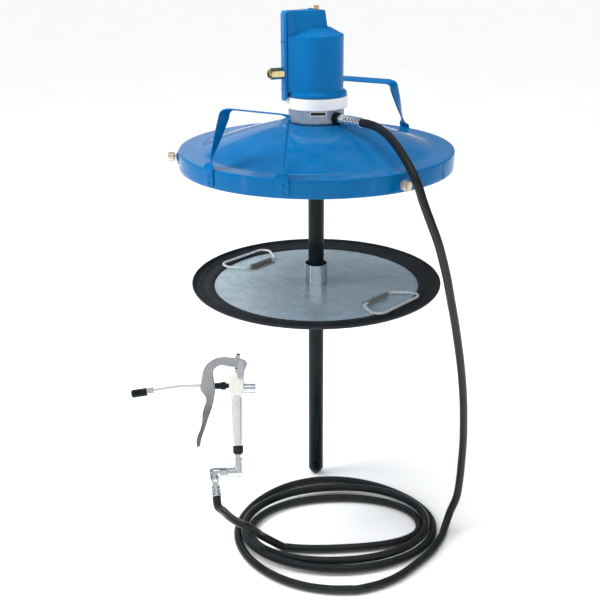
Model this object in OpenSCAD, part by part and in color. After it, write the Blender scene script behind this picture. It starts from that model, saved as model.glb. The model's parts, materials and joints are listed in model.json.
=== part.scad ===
// Air-operated grease pump on a drum cover, with its follower plate, hose and control valve.
// The pump axis is X = Y = 0. Z = 0 is the plane on the drum's rim that the cover rests on.

/* [Drum cover] */
// Outside diameter of the cover's skirt
cover_d = 607; // [590:1:620]
// Thickness of the cover's sheet
sheet_t = 1.5; // [1.2:0.1:2]
// Height of the skirt, from the top of the land to its lower edge
skirt_h = 38; // [30:1:50]
// Diameter where the dome rises from the flat land
dome_foot_d = 514; // [490:1:540]
// Diameter of the raised seat under the pump, at its foot
seat_foot_d = 166; // [156:1:180]
// Height of the pump's seat above the drum's rim
seat_z = 57; // [50:1:65]
// Height of the step round the pump's seat
seat_step_h = 4; // [2:0.5:8]
// Bulge of the dome above a straight cone
dome_crown_h = 3; // [0:0.5:6]

/* [Handles] */
// Width of the handle strap
handle_w = 28; // [22:1:34]
// Thickness of the handle strap
handle_t = 3; // [2:0.5:4]
// Height of the grip above the top of the skirt
handle_h = 110; // [80:1:130]
// How far the grip leans in from its two feet
handle_lean = 52; // [20:1:70]
// Angle between the two feet of one handle
handle_span = 32.5; // [26:0.5:40]
// Compass angle of the front handle's middle
handle_az = -118.6; // [-125:0.1:-112]

/* [Tie-down screws] */
// Diameter of the screw
tie_d = 10; // [8:1:12]
// Height of the screw's axis below the rim plane
tie_drop = 19; // [17:1:21]
// Diameter of the screw's fluted knob
knob_d = 22; // [18:1:24]

/* [Air motor] */
// Outside diameter of the motor's cylinder
motor_d = 117; // [112:1:121]
// Bore of the motor
motor_bore = 100; // [92:1:102]
// Height of the motor's lower face above the rim plane
motor_z = 113.5; // [110:0.5:118]
// Height of the cylinder's straight side above the motor's lower face
motor_h = 125.5; // [115:0.5:140]
// Diameter of the motor's lower flange
flange_d = 133; // [128:1:136]
// Thickness of the motor's lower flange
flange_t = 11; // [8:0.5:14]
// Height of the sloping shoulder
shoulder_h = 15.5; // [12:0.5:20]
// Height of the valve tower above the cylinder's straight side
tower_h = 50.5; // [44:0.5:56]
// Stroke of the pump
stroke = 75; // [50:1:80]

/* [Base and outlet] */
// Diameter of the base casting
base_d = 121; // [116:1:126]
// Diameter of the plain band round the motor's foot
band_d = 136; // [134:1:142]
// Height of the band
band_h = 25; // [20:0.5:28]
// Height of the outlet's axis above the rim plane
outlet_z = 70; // [69:0.5:72]
// Compass angle of the outlet
outlet_az = -45; // [-55:1:-35]

/* [Pump tube] */
// Outside diameter of the pump tube
tube_d = 36.2; // [34:0.1:40]
// Wall of the pump tube
tube_wall = 3; // [2.5:0.1:4]
// Depth of the pump's foot below the rim plane
foot_z = -842.5; // [-900:0.5:-842.5]

/* [Follower] */
// Diameter over the rubber wiper
wiper_d = 578; // [560:1:584]
// How far the wiper reaches beyond the visible edge of the steel plate
wiper_reach = 51.5; // [45:0.5:60]
// Thickness of the steel plate
plate_t = 2.5; // [2:0.1:4]
// Height of the plate's upper face
plate_z = -320.5; // [-400:0.5:-250]
// Outside diameter of the guide sleeve
sleeve_d = 54; // [50:1:60]
// Height of the guide sleeve above the plate
sleeve_h = 48; // [40:1:60]
// Diameter of the lifting bail's rod
bail_d = 6; // [5:0.5:8]
// Length of a lifting bail
bail_l = 146; // [120:1:160]
// Reach of a lifting bail out from its hinge
bail_reach = 62; // [50:1:66]

/* [Hose] */
// Outside diameter of the grease hose
hose_d = 17.5; // [14:0.5:18]
// Diameter of the crimped ferrules
ferrule_d = 21; // [20:0.5:24]

/* [Control valve] */
// How far the valve leans back from upright
valve_lean = 26; // [0:1:30]
// Diameter of the valve's handle at the top
grip_d = 28; // [25:0.5:30]
// Diameter of the valve's handle at the bottom
grip_foot_d = 24.6; // [22:0.2:25]
// Length of the valve's handle
grip_l = 103; // [95:1:115]
// Width of the valve's head, along the outlet
head_w = 30.4; // [28:0.2:34]
// Thickness of the valve's head, across the outlet
head_t = 25; // [24:0.5:27]
// Height of the valve's head
head_h = 48; // [45:1:56]
// Outside diameter of the steel outlet tube
nozzle_d = 9.9; // [9:0.1:11]
// Angle that the outlet tube bends down
nozzle_bend = 7; // [0:1:20]
// Diameter of the grease coupler
coupler_d = 17; // [15:0.5:18]
// Length of the grease coupler
coupler_l = 33; // [30:1:40]
// Inside width of the lever's channel
lever_gap = 20; // [19.5:0.1:20.5]
// Wall of the lever
lever_wall = 2.4; // [2:0.1:2.5]

/* [Hidden] */
$fn = 64;

// Shared small values
cut = 1;
run_c = 0.05;
gap_c = 0.3;
soft_fn = 24;
paint = [0, 0.46, 0.77];
zinc = [0.62, 0.64, 0.66];
bright = [0.8, 0.81, 0.82];
black = [0.08, 0.08, 0.09];
tan_brass = [0.72, 0.58, 0.32];

// Turns a point by an angle about Z
function turned(p, a) = [p[0] * cos(a) - p[1] * sin(a), p[0] * sin(a) + p[1] * cos(a)];
function lerp(a, b, t) = a + (b - a) * t;
function ease(t) = t * t * (3 - 2 * t);
function unit(v) = v / norm(v);
// One place on a smooth curve through p, where u counts points
function on_curve(p, u) = let (n = len(p) - 1, i = min(floor(u), n - 1), t = u - i,
    a = p[max(i - 1, 0)], b = p[i], c = p[i + 1], d = p[min(i + 2, n)])
    ((2 * b) + (c - a) * t + (2 * a - 5 * b + 4 * c - d) * t * t + (3 * b - a - 3 * c + d) * t * t * t) / 2;
function smooth(p, steps) = [for (i = [0:(len(p) - 1) * steps]) on_curve(p, i / steps)];
function arc(c, r, a0, a1, n) = [for (i = [0:n]) c + r * [cos(lerp(a0, a1, i / n)), sin(lerp(a0, a1, i / n))]];
// Moves an open outline sideways by d, with mitred corners
function side(p, i) = let (a = p[max(i - 1, 0)], b = p[i], c = p[min(i + 1, len(p) - 1)],
    u = i == 0 ? unit(c - b) : unit(b - a), v = i == len(p) - 1 ? u : unit(c - b), m = unit(u + v))
    [-m[1], m[0]] / (m * u);
function beside(p, d) = [for (i = [0:len(p) - 1]) p[i] + d * side(p, i)];
function reversed(p) = [for (i = [len(p) - 1:-1:0]) p[i]];

// A closed shell of thickness t under an open outline [r, z]
module revolved_sheet(p, t) {
    rotate_extrude($fn = 128) polygon(concat(p, reversed(beside(p, t))));
}
// Solid of revolution from an outline of [r, z]
module lathe(p) {
    rotate_extrude() polygon(p);
}
module ring(r_out, r_in, h) {
    difference() {
        cylinder(r = r_out, h = h);
        translate([0, 0, -cut]) cylinder(r = r_in, h = h + 2 * cut);
    }
}
// Hexagon bar, across flats af, with turned corners
module hex(af, h, bevel) {
    intersection() {
        cylinder(r = af / sqrt(3), h = h, $fn = 6);
        lathe([[0, 0], [af / 2, 0], [af / 2 + bevel, bevel], [af / 2 + bevel, h - bevel], [af / 2, h], [0, h]]);
    }
}
// Places its children with local +Z pointing out level at a compass angle, at height z
module facing(az, r, z) {
    rotate([0, 0, az]) translate([r, 0, z]) rotate([0, 90, 0]) children();
}

// Frames for a tube: [point, side, up] at each point, carried along without twist
function heading(p, i) = unit(p[min(i + 1, len(p) - 1)] - p[max(i - 1, 0)]);
function carried(v, t) = unit(v - (v * t) * t);
function frames(p, v, i = 0, out = []) = i == len(p) ? out :
    let (t = heading(p, i), s = carried(i == 0 ? v : out[i - 1][1], t)) frames(p, v, i + 1,
        concat(out, [[p[i], s, cross(t, s)]]));
// A closed tube of radius r along p, with the given number of sides
module tube_along(p, r, sides, first) {
    f = frames(p, first);
    n = len(p);
    pts = [for (k = f) for (j = [0:sides - 1]) k[0] + r * (cos(j * 360 / sides) * k[1] + sin(j * 360 / sides) * k[2])];
    walls = [for (i = [0:n - 2]) for (j = [0:sides - 1]) let (a = i * sides + j, b = i * sides + (j + 1) % sides)
        each [[a, a + sides, b], [b, a + sides, b + sides]]];
    start = [for (j = [1:sides - 2]) [0, j, j + 1]];
    stop = [for (j = [1:sides - 2]) [(n - 1) * sides, (n - 1) * sides + j + 1, (n - 1) * sides + j]];
    polyhedron(pts, concat(walls, start, stop));
}

// Drum cover
cover_r = cover_d / 2;
foot_r = dome_foot_d / 2;
seat_foot_r = seat_foot_d / 2;
seat_top_r = seat_foot_r - 6;
edge_r = 4;
foot_blend = 9;
crown_steps = 8;
spigot_r = 24;
dome_top = [seat_foot_r, seat_z - seat_step_h];
dome_foot = [foot_r - foot_blend, sheet_t + 3];
function dome_at(t) = lerp(dome_foot, dome_top, t) + [0, dome_crown_h * 4 * t * (1 - t)];
cover_outline = concat([[cover_r, sheet_t - edge_r - cut]], arc([cover_r - edge_r, sheet_t - edge_r], edge_r, 0, 90, 4),
    [[foot_r + foot_blend, sheet_t], [foot_r, sheet_t + 0.2 * sheet_t]],
    [for (i = [0:crown_steps]) dome_at(i / crown_steps)],
    arc([seat_top_r, seat_z - seat_step_h], seat_step_h, 50, 90, 3),
    [[spigot_r + gap_c, seat_z]]);
module drum_cover() {
    color(paint) revolved_sheet(cover_outline, sheet_t);
}
// Skirt: a band under the cover's rounded edge, with its ends lapped at the seam
seam_az = -29.5;
seam_w = 16;
seam_t = 1;
skirt_low = sheet_t - skirt_h;
skirt_top = sheet_t - edge_r - cut;
module cover_skirt() {
    seam_angle = seam_w / cover_r * 180 / PI;
    color(paint) difference() {
        union() {
            translate([0, 0, skirt_low]) rotate_extrude($fn = 128) translate([cover_r - sheet_t, 0])
                square([sheet_t, skirt_top - skirt_low]);
            rotate([0, 0, seam_az - seam_angle / 2]) translate([0, 0, skirt_low + seam_t])
                rotate_extrude(angle = seam_angle, $fn = 360) translate([cover_r - sheet_t / 2, 0])
                    square([sheet_t / 2 + seam_t, skirt_top - skirt_low - 2 * seam_t]);
        }
        for (az = tie_az) facing(az, cover_r - tie_l, -tie_drop) cylinder(r = tie_hole_r, h = 2 * tie_l);
        for (s = [0, 180]) for (a = handle_feet) for (z = rivet_z) facing(a + s, cover_r - 2 * handle_t, z)
            cylinder(r = rivet_r, h = 4 * handle_t, $fn = soft_fn);
    }
}

// Handles: two straps, each with two pads riveted to the skirt
handle_feet = [handle_az - handle_span / 2, handle_az + handle_span / 2];
pad_low = sheet_t - skirt_h + 3;
pad_top = 4;
pad_over = 0.8;
pad_t = handle_t + pad_over;
pad_r = cover_r + pad_t / 2;
rivet_r = 2.5;
rivet_head_r = 4.2;
rivet_head_h = 1.8;
rivet_z = [-12, -26];
handle_inset = 13;
corner_r = 14;
leg_steps = 9;
twist_share = 0.3;
function mid_dir(a) = [cos(a), sin(a), 0];
function cross_dir(a) = [-sin(a), cos(a), 0];
// The strap's half path and width direction, from the first pad's top to the middle of the grip
function strap_half() = let (a = handle_feet[0], foot = [pad_r * cos(a), pad_r * sin(a), pad_top],
    chord = cross_dir(handle_az), inward = -mid_dir(handle_az),
    corner = foot + handle_inset * chord + handle_lean * inward + [0, 0, handle_h],
    leg = unit(corner - foot), stop = corner - corner_r * leg, start = corner + corner_r * chord,
    w0 = -cross_dir(a), w1 = inward)
    concat([for (i = [0:leg_steps]) let (t = i / leg_steps, q = ease(min(1, t / twist_share)))
        [lerp(foot, stop, t), unit(lerp(w0, w1, q))]],
    [for (i = [1:3]) let (t = i / 4) [(1 - t) * (1 - t) * stop + 2 * t * (1 - t) * corner + t * t * start, w1]],
    [[start, w1]]);
function mirrored(v) = let (c = cross_dir(handle_az)) v - 2 * (v * c) * c;
function strap_path() = let (h = strap_half()) concat(h, [for (k = reversed(h)) [mirrored(k[0]), mirrored(k[1])]]);
module strap() {
    k = strap_path();
    n = len(k);
    p = [for (q = k) q[0]];
    pts = [for (i = [0:n - 1]) let (t = i == 0 || i == n - 1 ? [0, 0, i == 0 ? 1 : -1] : heading(p, i),
        w = carried(k[i][1], t) * handle_w / 2, u = cross(t, unit(w)) * handle_t / 2)
        each [p[i] - w - u, p[i] + w - u, p[i] + w + u, p[i] - w + u]];
    walls = [for (i = [0:n - 2]) for (j = [0:3]) let (a = 4 * i + j, b = 4 * i + (j + 1) % 4)
        each [[a, a + 4, b], [b, a + 4, b + 4]]];
    polyhedron(pts, concat(walls, [[0, 1, 2], [0, 2, 3]], [[4 * n - 4, 4 * n - 2, 4 * n - 3], [4 * n - 4, 4 * n - 1, 4 * n - 2]]));
}
pad_angle = (handle_w + pad_over) / cover_r * 180 / PI;
module handle() {
    color(paint) difference() {
        union() {
            strap();
            for (a = handle_feet) rotate([0, 0, a - pad_angle / 2]) translate([0, 0, pad_low])
                rotate_extrude(angle = pad_angle, $fn = 360)
                    translate([cover_r, 0]) square([pad_t, pad_top - pad_low + handle_t]);
        }
        for (a = handle_feet) for (z = rivet_z) facing(a, cover_r - cut, z)
            cylinder(r = rivet_r, h = pad_t + 2 * cut, $fn = soft_fn);
    }
}
module front_handle() handle();
module rear_handle() rotate([0, 0, 180]) handle();
module handle_rivets() {
    color(paint) for (s = [0, 180]) for (a = handle_feet) for (z = rivet_z) facing(a + s, cover_r - sheet_t, z) {
        cylinder(r = rivet_r, h = sheet_t + pad_t + rivet_head_h / 2, $fn = soft_fn);
        translate([0, 0, sheet_t + pad_t]) rotate_extrude($fn = soft_fn) polygon([[0, 0], [rivet_head_r, 0],
            [rivet_head_r, rivet_head_h / 3], [rivet_head_r / 2, rivet_head_h], [0, rivet_head_h]]);
        translate([0, 0, -rivet_head_h]) cylinder(r = rivet_head_r, h = rivet_head_h - run_c, $fn = soft_fn);
        translate([0, 0, -rivet_head_h]) cylinder(r = rivet_r, h = rivet_head_h + cut, $fn = soft_fn);
    }
}

// Tie-down screws and their welded bosses
tie_az = [-57, 183, 63];
tie_l = 12;
tie_hole_r = tie_d / 2 + 1;
boss_plate_w = 30;
boss_plate_h = 26;
boss_plate_t = 2.5;
boss_r = tie_d / 2 + 4;
boss_h = 3;
knob_l = 13.5;
knob_flutes = 12;
boss_angle = boss_plate_w / cover_r * 180 / PI;
module screw_bosses() {
    color(paint) for (az = tie_az) difference() {
        union() {
            rotate([0, 0, az - boss_angle / 2]) translate([0, 0, -tie_drop - boss_plate_h / 2])
                rotate_extrude(angle = boss_angle, $fn = 360)
                    translate([cover_r, 0]) square([boss_plate_t, boss_plate_h]);
            facing(az, cover_r, -tie_drop) cylinder(r = boss_r, h = boss_plate_t + boss_h);
        }
        facing(az, cover_r - tie_l, -tie_drop) cylinder(r = tie_d / 2 + run_c, h = 2 * tie_l + boss_h);
    }
}
// One tie-down screw, its tip at Z = 0 and its fluted knob along +Z
tie_reach = sheet_t + boss_plate_t + boss_h + 4.5;
module knob_screw() {
    tip = 2;
    bevel = 1.5;
    flute = 1.8;
    r = knob_d / 2;
    lathe([[0, 0], [tie_d / 2 - tip, 0], [tie_d / 2, tip], [tie_d / 2, tie_reach + cut], [0, tie_reach + cut]]);
    translate([0, 0, tie_reach]) difference() {
        lathe([[0, 0], [r - bevel, 0], [r, bevel], [r, knob_l - bevel], [r - bevel, knob_l], [0, knob_l]]);
        for (i = [0:knob_flutes - 1]) rotate([0, 0, i * 360 / knob_flutes]) translate([r + flute / 2, 0, -cut])
            cylinder(r = flute, h = knob_l + 2 * cut, $fn = 16);
    }
}
module tie_screw(i) {
    color(tan_brass) facing(tie_az[i], cover_r - sheet_t, -tie_drop) knob_screw();
}
module tie_screw_front() tie_screw(0);
module tie_screw_left() tie_screw(1);
module tie_screw_rear() tie_screw(2);

// Base casting, with a spigot down through the cover and a neck up into the motor
base_r = base_d / 2;
band_r = band_d / 2;
band_z = motor_z - band_h - 0.5;
base_top = band_z - 1;
neck_r = band_r - 7;
spigot_l = 14;
chamber_top = outlet_z + 9;
tube_r = tube_d / 2;
tube_in = tube_r - tube_wall;
rod_r = 6;
packing_r = 11;
packing_h = 9;
exhaust_w = 32;
exhaust_h = 7.5;
exhaust_depth = 12;
exhaust_az = -86;
outlet_boss_r = 12.6;
outlet_tip = 72;
port_r = 5;
locknut_t = 9;
exhaust_lip_t = 1.5;
// A box from the slot's back out to the given depth, grown on each side
module exhaust_box(grow, depth) {
    facing(exhaust_az, base_r - exhaust_depth, base_top - exhaust_h / 2 - exhaust_lip_t)
        translate([-exhaust_h / 2 - grow, -exhaust_w / 2 - grow, 0])
            cube([exhaust_h + 2 * grow, exhaust_w + 2 * grow, depth]);
}
module pump_base() {
    fillet = 3;
    color(zinc) difference() {
        union() {
            translate([0, 0, seat_z]) lathe([[0, 0], [base_r - fillet, 0], [base_r, fillet],
                [base_r, base_top - seat_z], [0, base_top - seat_z]]);
            translate([0, 0, base_top - cut]) cylinder(r = neck_r, h = motor_z - base_top + cut);
            translate([0, 0, motor_z - cut]) cylinder(r = motor_bore / 2, h = neck_h + cut);
            translate([0, 0, seat_z - spigot_l]) cylinder(r = spigot_r, h = spigot_l + cut);
        }
        translate([0, 0, seat_z - spigot_l - cut]) cylinder(r = tube_r, h = spigot_l + tube_seat_h + cut);
        translate([0, 0, seat_z]) cylinder(r = tube_in, h = chamber_top - seat_z);
        cylinder(r = rod_r + run_c, h = motor_z + motor_h);
        translate([0, 0, chamber_top + 2]) cylinder(r = packing_r, h = packing_h);
        facing(outlet_az, 0, outlet_z) cylinder(r = port_r, h = base_r + cut);
        facing(outlet_az, base_r - outlet_sink, outlet_z) cylinder(r = outlet_boss_r, h = base_r);
        exhaust_box(exhaust_lip_t, exhaust_depth + band_r);
    }
}
neck_h = 6;
tube_seat_h = 4;
outlet_sink = 5;
module outlet_adapter() {
    bevel = 1.5;
    color(black) facing(outlet_az, base_r - outlet_sink, outlet_z) difference() {
        lathe([[port_r, 0], [outlet_boss_r, 0], [outlet_boss_r, outlet_tip - base_r + outlet_sink - bevel],
            [outlet_boss_r - bevel, outlet_tip - base_r + outlet_sink], [port_r, outlet_tip - base_r + outlet_sink]]);
        translate([0, 0, -cut]) cylinder(r = port_r, h = cut);
    }
}
module rod_packing() {
    color(black) translate([0, 0, chamber_top + 2]) ring(packing_r, rod_r + run_c, packing_h);
}
module cover_locknut() {
    color(zinc) translate([0, 0, seat_z - sheet_t - locknut_t]) difference() {
        hex(2 * spigot_r + 16, locknut_t, 2);
        translate([0, 0, -cut]) cylinder(r = spigot_r, h = locknut_t + 2 * cut);
    }
}
// Plain white band, closed below by a lip, round the exhaust space
module exhaust_band() {
    wall = 2;
    lip_t = 1.5;
    color("white") translate([0, 0, band_z]) rotate_extrude($fn = 128) polygon([[neck_r, 0], [band_r - wall, 0],
        [band_r, wall], [band_r, band_h], [band_r - wall, band_h], [band_r - wall, lip_t], [neck_r, lip_t]]);
}
// White frame that lines the exhaust slot
module exhaust_lip() {
    color("white") difference() {
        exhaust_box(exhaust_lip_t, exhaust_depth + exhaust_lip_t);
        exhaust_box(0, exhaust_depth + band_r);
    }
}

// Air motor housing: cylinder, flange, shoulder and an offset valve tower
motor_r = motor_d / 2;
bore_r = motor_bore / 2;
flange_r = flange_d / 2;
cyl_top = motor_z + motor_h;
tower_top = cyl_top + tower_h;
roof_t = 9;
plate_az = -157;
pad_w = 24;
pad_out = 70;
tower_w = 49;
tower_nose = 19.5;
nose_slope = 10;
tower_back = 52;
spool_r = 9;
spool_u = 44;
spool_low = motor_z + 40;
spool_high = tower_top - 6;
spool_l = 88;
spool_travel = 10;
module tower_plan() {
    polygon([[pad_out, -pad_w / 2], [tower_back, -pad_w / 2], [tower_w * 0.4, -tower_w / 2], [-tower_nose, -tower_w / 2 + 2],
        [-tower_nose, tower_w / 2 - 2], [tower_w * 0.4, tower_w / 2], [tower_back, pad_w / 2], [pad_out, pad_w / 2]]);
}
module motor_housing() {
    color(paint) difference() {
        union() {
            translate([0, 0, motor_z]) lathe(concat([[0, 0], [flange_r, 0]],
                arc([flange_r - flange_t * 0.55, flange_t * 0.45], flange_t * 0.55, 0, 90, 6),
                [[motor_r, flange_t], [motor_r, motor_h], [motor_r - shoulder_h * 1.87, motor_h + shoulder_h],
                [0, motor_h + shoulder_h]]));
            rotate([0, 0, plate_az]) {
                translate([0, 0, cyl_top - roof_t]) difference() {
                    linear_extrude(tower_h + roof_t) tower_plan();
                    translate([-tower_nose, -tower_w, roof_t]) rotate([0, nose_slope, 0])
                        translate([-tower_w, 0, -tower_h]) cube([tower_w, 2 * tower_w, 3 * tower_h]);
                    chamfer = 5;
                    translate([pad_out, -tower_w, tower_h + roof_t - chamfer]) rotate([0, -45, 0])
                        cube([2 * chamfer, 2 * tower_w, 2 * chamfer]);
                }
                translate([0, -pad_w / 2, motor_z + flange_t]) cube([pad_out, pad_w, motor_h - flange_t]);
            }
            rotate([0, 0, plate_az]) translate([cap_u, 0, tower_top - cut]) cylinder(r = 6, h = cut + 3);
        }
        translate([0, 0, motor_z - cut]) cylinder(r = bore_r, h = motor_h - roof_t + cut);
        rotate([0, 0, plate_az]) {
            translate([spool_u, 0, cyl_top]) cylinder(r = spool_r + run_c, h = spool_high - cyl_top);
            translate([0, 0, tower_top - plug_depth]) cylinder(r = plug_r, h = plug_depth + cut);
        }
    }
}
cap_u = 14;
plug_depth = 8;
plug_r = 4.5;
module top_plug() {
    plug_af = 9.5;
    plug_h = 8;
    color(tan_brass) translate([0, 0, tower_top]) {
        translate([0, 0, -plug_depth]) cylinder(r = plug_r, h = plug_depth);
        hex(plug_af, plug_h, 1);
    }
}
// Valve spool in the tower, with three lands
module valve_spool() {
    land = 8;
    waist_r = 5;
    l = spool_high - cyl_top - spool_travel - 1;
    color(bright) rotate([0, 0, plate_az]) translate([spool_u, 0, cyl_top + gap_c]) {
        cylinder(r = waist_r, h = l);
        for (z = [0, (l - land) / 2, l - land]) translate([0, 0, z]) cylinder(r = spool_r, h = land);
    }
}

// Manifold cover on the motor's side, its gasket, screws and air inlet
gasket_t = 1.5;
manifold_w = 25;
manifold_t = 5.5;
manifold_low = motor_z - 8;
manifold_bevel = 3;
inlet_z = 163;
inlet_af = 21;
inlet_l = 32.5;
inlet_r = 7.25;
manifold_face = pad_out + gasket_t + manifold_t;
cover_screw_r = 2.5;
screw_head_r = 4.25;
screw_head_h = 4;
screw_seat_v = manifold_w / 2 - 5.5;
screw_rows = [motor_z + 16, cyl_top - 12];
module manifold_gasket() {
    color(black) rotate([0, 0, plate_az]) translate([pad_out, -pad_w / 2 + 1, motor_z + flange_t + 2])
        cube([gasket_t, pad_w - 2, motor_h - flange_t + tower_h - 12]);
}
module manifold_cover() {
    w = manifold_w / 2;
    b = manifold_bevel;
    h = tower_top - manifold_low;
    tip = 8;
    color(paint) rotate([0, 0, plate_az]) difference() {
        translate([pad_out + gasket_t, 0, manifold_low]) intersection() {
            linear_extrude(h) polygon([[0, -w], [manifold_t - b, -w], [manifold_t, b - w], [manifold_t, w - b],
                [manifold_t - b, w], [0, w]]);
            translate([0, w, 0]) rotate([90, 0, 0]) linear_extrude(2 * w)
                polygon([[0, tip], [manifold_t, 0], [manifold_t, h - tip], [0, h]]);
        }
        translate([pad_out, 0, inlet_z]) rotate([0, 90, 0]) cylinder(r = inlet_r - 1, h = 2 * manifold_t + gasket_t);
        for (z = screw_rows) for (v = [-1, 1]) translate([manifold_face, v * screw_seat_v, z]) rotate([0, 90, 0]) {
            translate([0, 0, -screw_head_h]) cylinder(r = screw_head_r, h = screw_head_h + cut);
            translate([0, 0, -2 * manifold_t]) cylinder(r = cover_screw_r, h = 2 * manifold_t);
        }
    }
}
module manifold_screws() {
    socket_af = 4;
    socket_depth = 2;
    color(zinc) rotate([0, 0, plate_az]) for (z = screw_rows) for (v = [-1, 1])
        translate([manifold_face - screw_head_h, v * screw_seat_v, z]) rotate([0, 90, 0]) difference() {
            union() {
                cylinder(r = screw_head_r, h = screw_head_h);
                translate([0, 0, screw_head_h - manifold_t]) cylinder(r = cover_screw_r, h = manifold_t - screw_head_h + cut);
            }
            translate([0, 0, screw_head_h - socket_depth]) cylinder(r = socket_af / sqrt(3), h = socket_depth + cut, $fn = 6);
        }
}
module air_inlet() {
    collar_l = 4;
    color(tan_brass) facing(plate_az, manifold_face, inlet_z) difference() {
        union() {
            hex(inlet_af, inlet_l - collar_l, 1.5);
            cylinder(r = inlet_af / 2 - 2, h = inlet_l);
        }
        translate([0, 0, -cut]) cylinder(r = inlet_r, h = inlet_l + 2 * cut);
    }
}

// Moving inner parts of the pump, shown at the bottom of the stroke
piston_z = motor_z + neck_h + 2;
piston_t = 14;
seal_t = 4;
groove = 3;
rod_low = foot_z + 34;
rod_high = piston_z + piston_t;
module air_piston() {
    color(zinc) translate([0, 0, piston_z]) difference() {
        cylinder(r = bore_r - 0.4, h = piston_t);
        translate([0, 0, (piston_t - seal_t) / 2]) ring(bore_r + cut, bore_r - groove, seal_t);
        translate([0, 0, -cut]) cylinder(r = rod_r, h = piston_t + 2 * cut);
    }
}
module piston_seal() {
    color(black) translate([0, 0, piston_z + (piston_t - seal_t) / 2]) ring(bore_r - run_c, bore_r - groove, seal_t);
}
module pump_rod() {
    color(bright) translate([0, 0, rod_low]) cylinder(r = rod_r, h = rod_high - rod_low);
}
plunger_h = 30;
module pump_plunger() {
    waist = 3;
    color(zinc) translate([0, 0, rod_low + 20]) difference() {
        lathe([[rod_r, 0], [tube_in - run_c, 0], [tube_in - run_c, plunger_h / 3], [tube_in - waist, plunger_h / 3],
            [tube_in - waist, 2 * plunger_h / 3], [tube_in - run_c, 2 * plunger_h / 3], [tube_in - run_c, plunger_h],
            [rod_r, plunger_h]]);
    }
}

// Pump tube and foot valve
foot_l = 16;
foot_tip_r = 7.5;
tube_low = foot_z + foot_l;
module pump_tube() {
    color(black) translate([0, 0, tube_low]) ring(tube_r, tube_in, seat_z - tube_low + tube_seat_h);
}
module foot_valve() {
    seat_h = 10;
    slant = 38;
    color(black) translate([0, 0, foot_z]) difference() {
        union() {
            lathe([[0, 0], [foot_tip_r, 0], [tube_r * 0.78, foot_l * 0.45], [tube_r, foot_l], [0, foot_l]]);
            translate([0, 0, foot_l - cut]) cylinder(r = tube_in, h = seat_h + cut);
        }
        translate([0, 0, -cut]) cylinder(r = foot_tip_r - 2.5, h = foot_l + seat_h + 2 * cut);
        translate([0, 0, foot_l - 2]) cylinder(r = tube_in - 3, h = seat_h + 2 + cut);
        rotate([0, 0, -20]) translate([foot_tip_r * 0.2, -tube_r, -foot_l]) rotate([0, slant, 0])
            translate([0, 0, -foot_l]) cube([tube_d, tube_d, foot_l * 1.6]);
    }
}

// Follower: steel plate, rubber wiper gripping its rim, guide sleeve and its seal
wiper_r = wiper_d / 2;
plate_r = wiper_r - wiper_reach;
grip_w = 14;
sleeve_r = sleeve_d / 2;
sleeve_wall = 2;
rub_t = 4;
module follower_plate() {
    color(bright) translate([0, 0, plate_z - plate_t]) ring(plate_r + grip_w, sleeve_r - sleeve_wall, plate_t);
}
module follower_wiper() {
    lip_h = 9;
    lip_t = 6;
    wash = 14;
    toe = 5;
    r1 = plate_r + grip_w;
    low = plate_z - plate_t - rub_t;
    color(black) rotate_extrude($fn = 128) polygon(concat(
        [[plate_r - 2, low], [r1 + 1, low],
        [wiper_r - toe, low + lip_h], [wiper_r - 1, low + lip_h + 3]],
        arc([wiper_r - lip_t / 2, plate_z + lip_h - lip_t / 2], lip_t / 2, 0, 170, 6),
        [[wiper_r - lip_t - 3, plate_z + 2.5], [r1 + wash, plate_z + 0.5], [r1 + 4, plate_z + rub_t - 1],
        [r1, plate_z + rub_t], [plate_r + 2, plate_z + rub_t - 1],
        [plate_r, plate_z], [r1, plate_z], [r1, plate_z - plate_t], [plate_r - 2, plate_z - plate_t]]));
}
module guide_sleeve() {
    rim = 6;
    color(bright) translate([0, 0, plate_z]) {
        difference() {
            union() {
                translate([0, 0, -plate_t - 3]) cylinder(r = sleeve_r + rim, h = 3);
                translate([0, 0, -plate_t]) cylinder(r = sleeve_r - sleeve_wall, h = plate_t);
                cylinder(r = sleeve_r, h = sleeve_h);
            }
            translate([0, 0, -plate_t - 3 - cut]) cylinder(r = sleeve_r - 2 * sleeve_wall, h = plate_t + 3 + 2 * cut);
            translate([0, 0, 0]) cylinder(r = sleeve_r - sleeve_wall, h = sleeve_h + cut);
        }
    }
}
module sleeve_seal() {
    rest = 5;
    color(black) translate([0, 0, plate_z]) ring(sleeve_r - sleeve_wall, tube_r + run_c, sleeve_h - rest);
}
// Lifting bails, each hinged in a folded clip
bail_az = [139.5, -40.5];
hinge_r = plate_r - 57.5;
bail_r = bail_d / 2;
clip_l = 88;
clip_t = 1.5;
hinge_z = plate_z + clip_t + bail_r + 0.3;
bail_tilt = 2;
bail_in_l = 110;
bend_in = 10;
bend_out = 20;
// Half outline of a bail, from the middle of the hinge bar round to the middle of the outer bar
function bail_half() = let (a = [bend_in, bail_in_l / 2 - bend_in], b = [bail_reach - bend_out, bail_l / 2 - bend_out],
    d = b - a, lean = atan2(d[1], d[0]) + acos((bend_in - bend_out) / norm(d)))
    concat([[0, 0], [0, bail_in_l / 2 - 2 * bend_in]], arc(a, bend_in, 180, lean, 3), arc(b, bend_out, lean, 0, 6),
    [[bail_reach, 0]]);
function bail_path() = let (h = bail_half()) concat([for (p = h) [p[0], p[1], 0]],
    [for (i = [len(h) - 2:-1:1]) [h[i][0], -h[i][1], 0]]);
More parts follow.
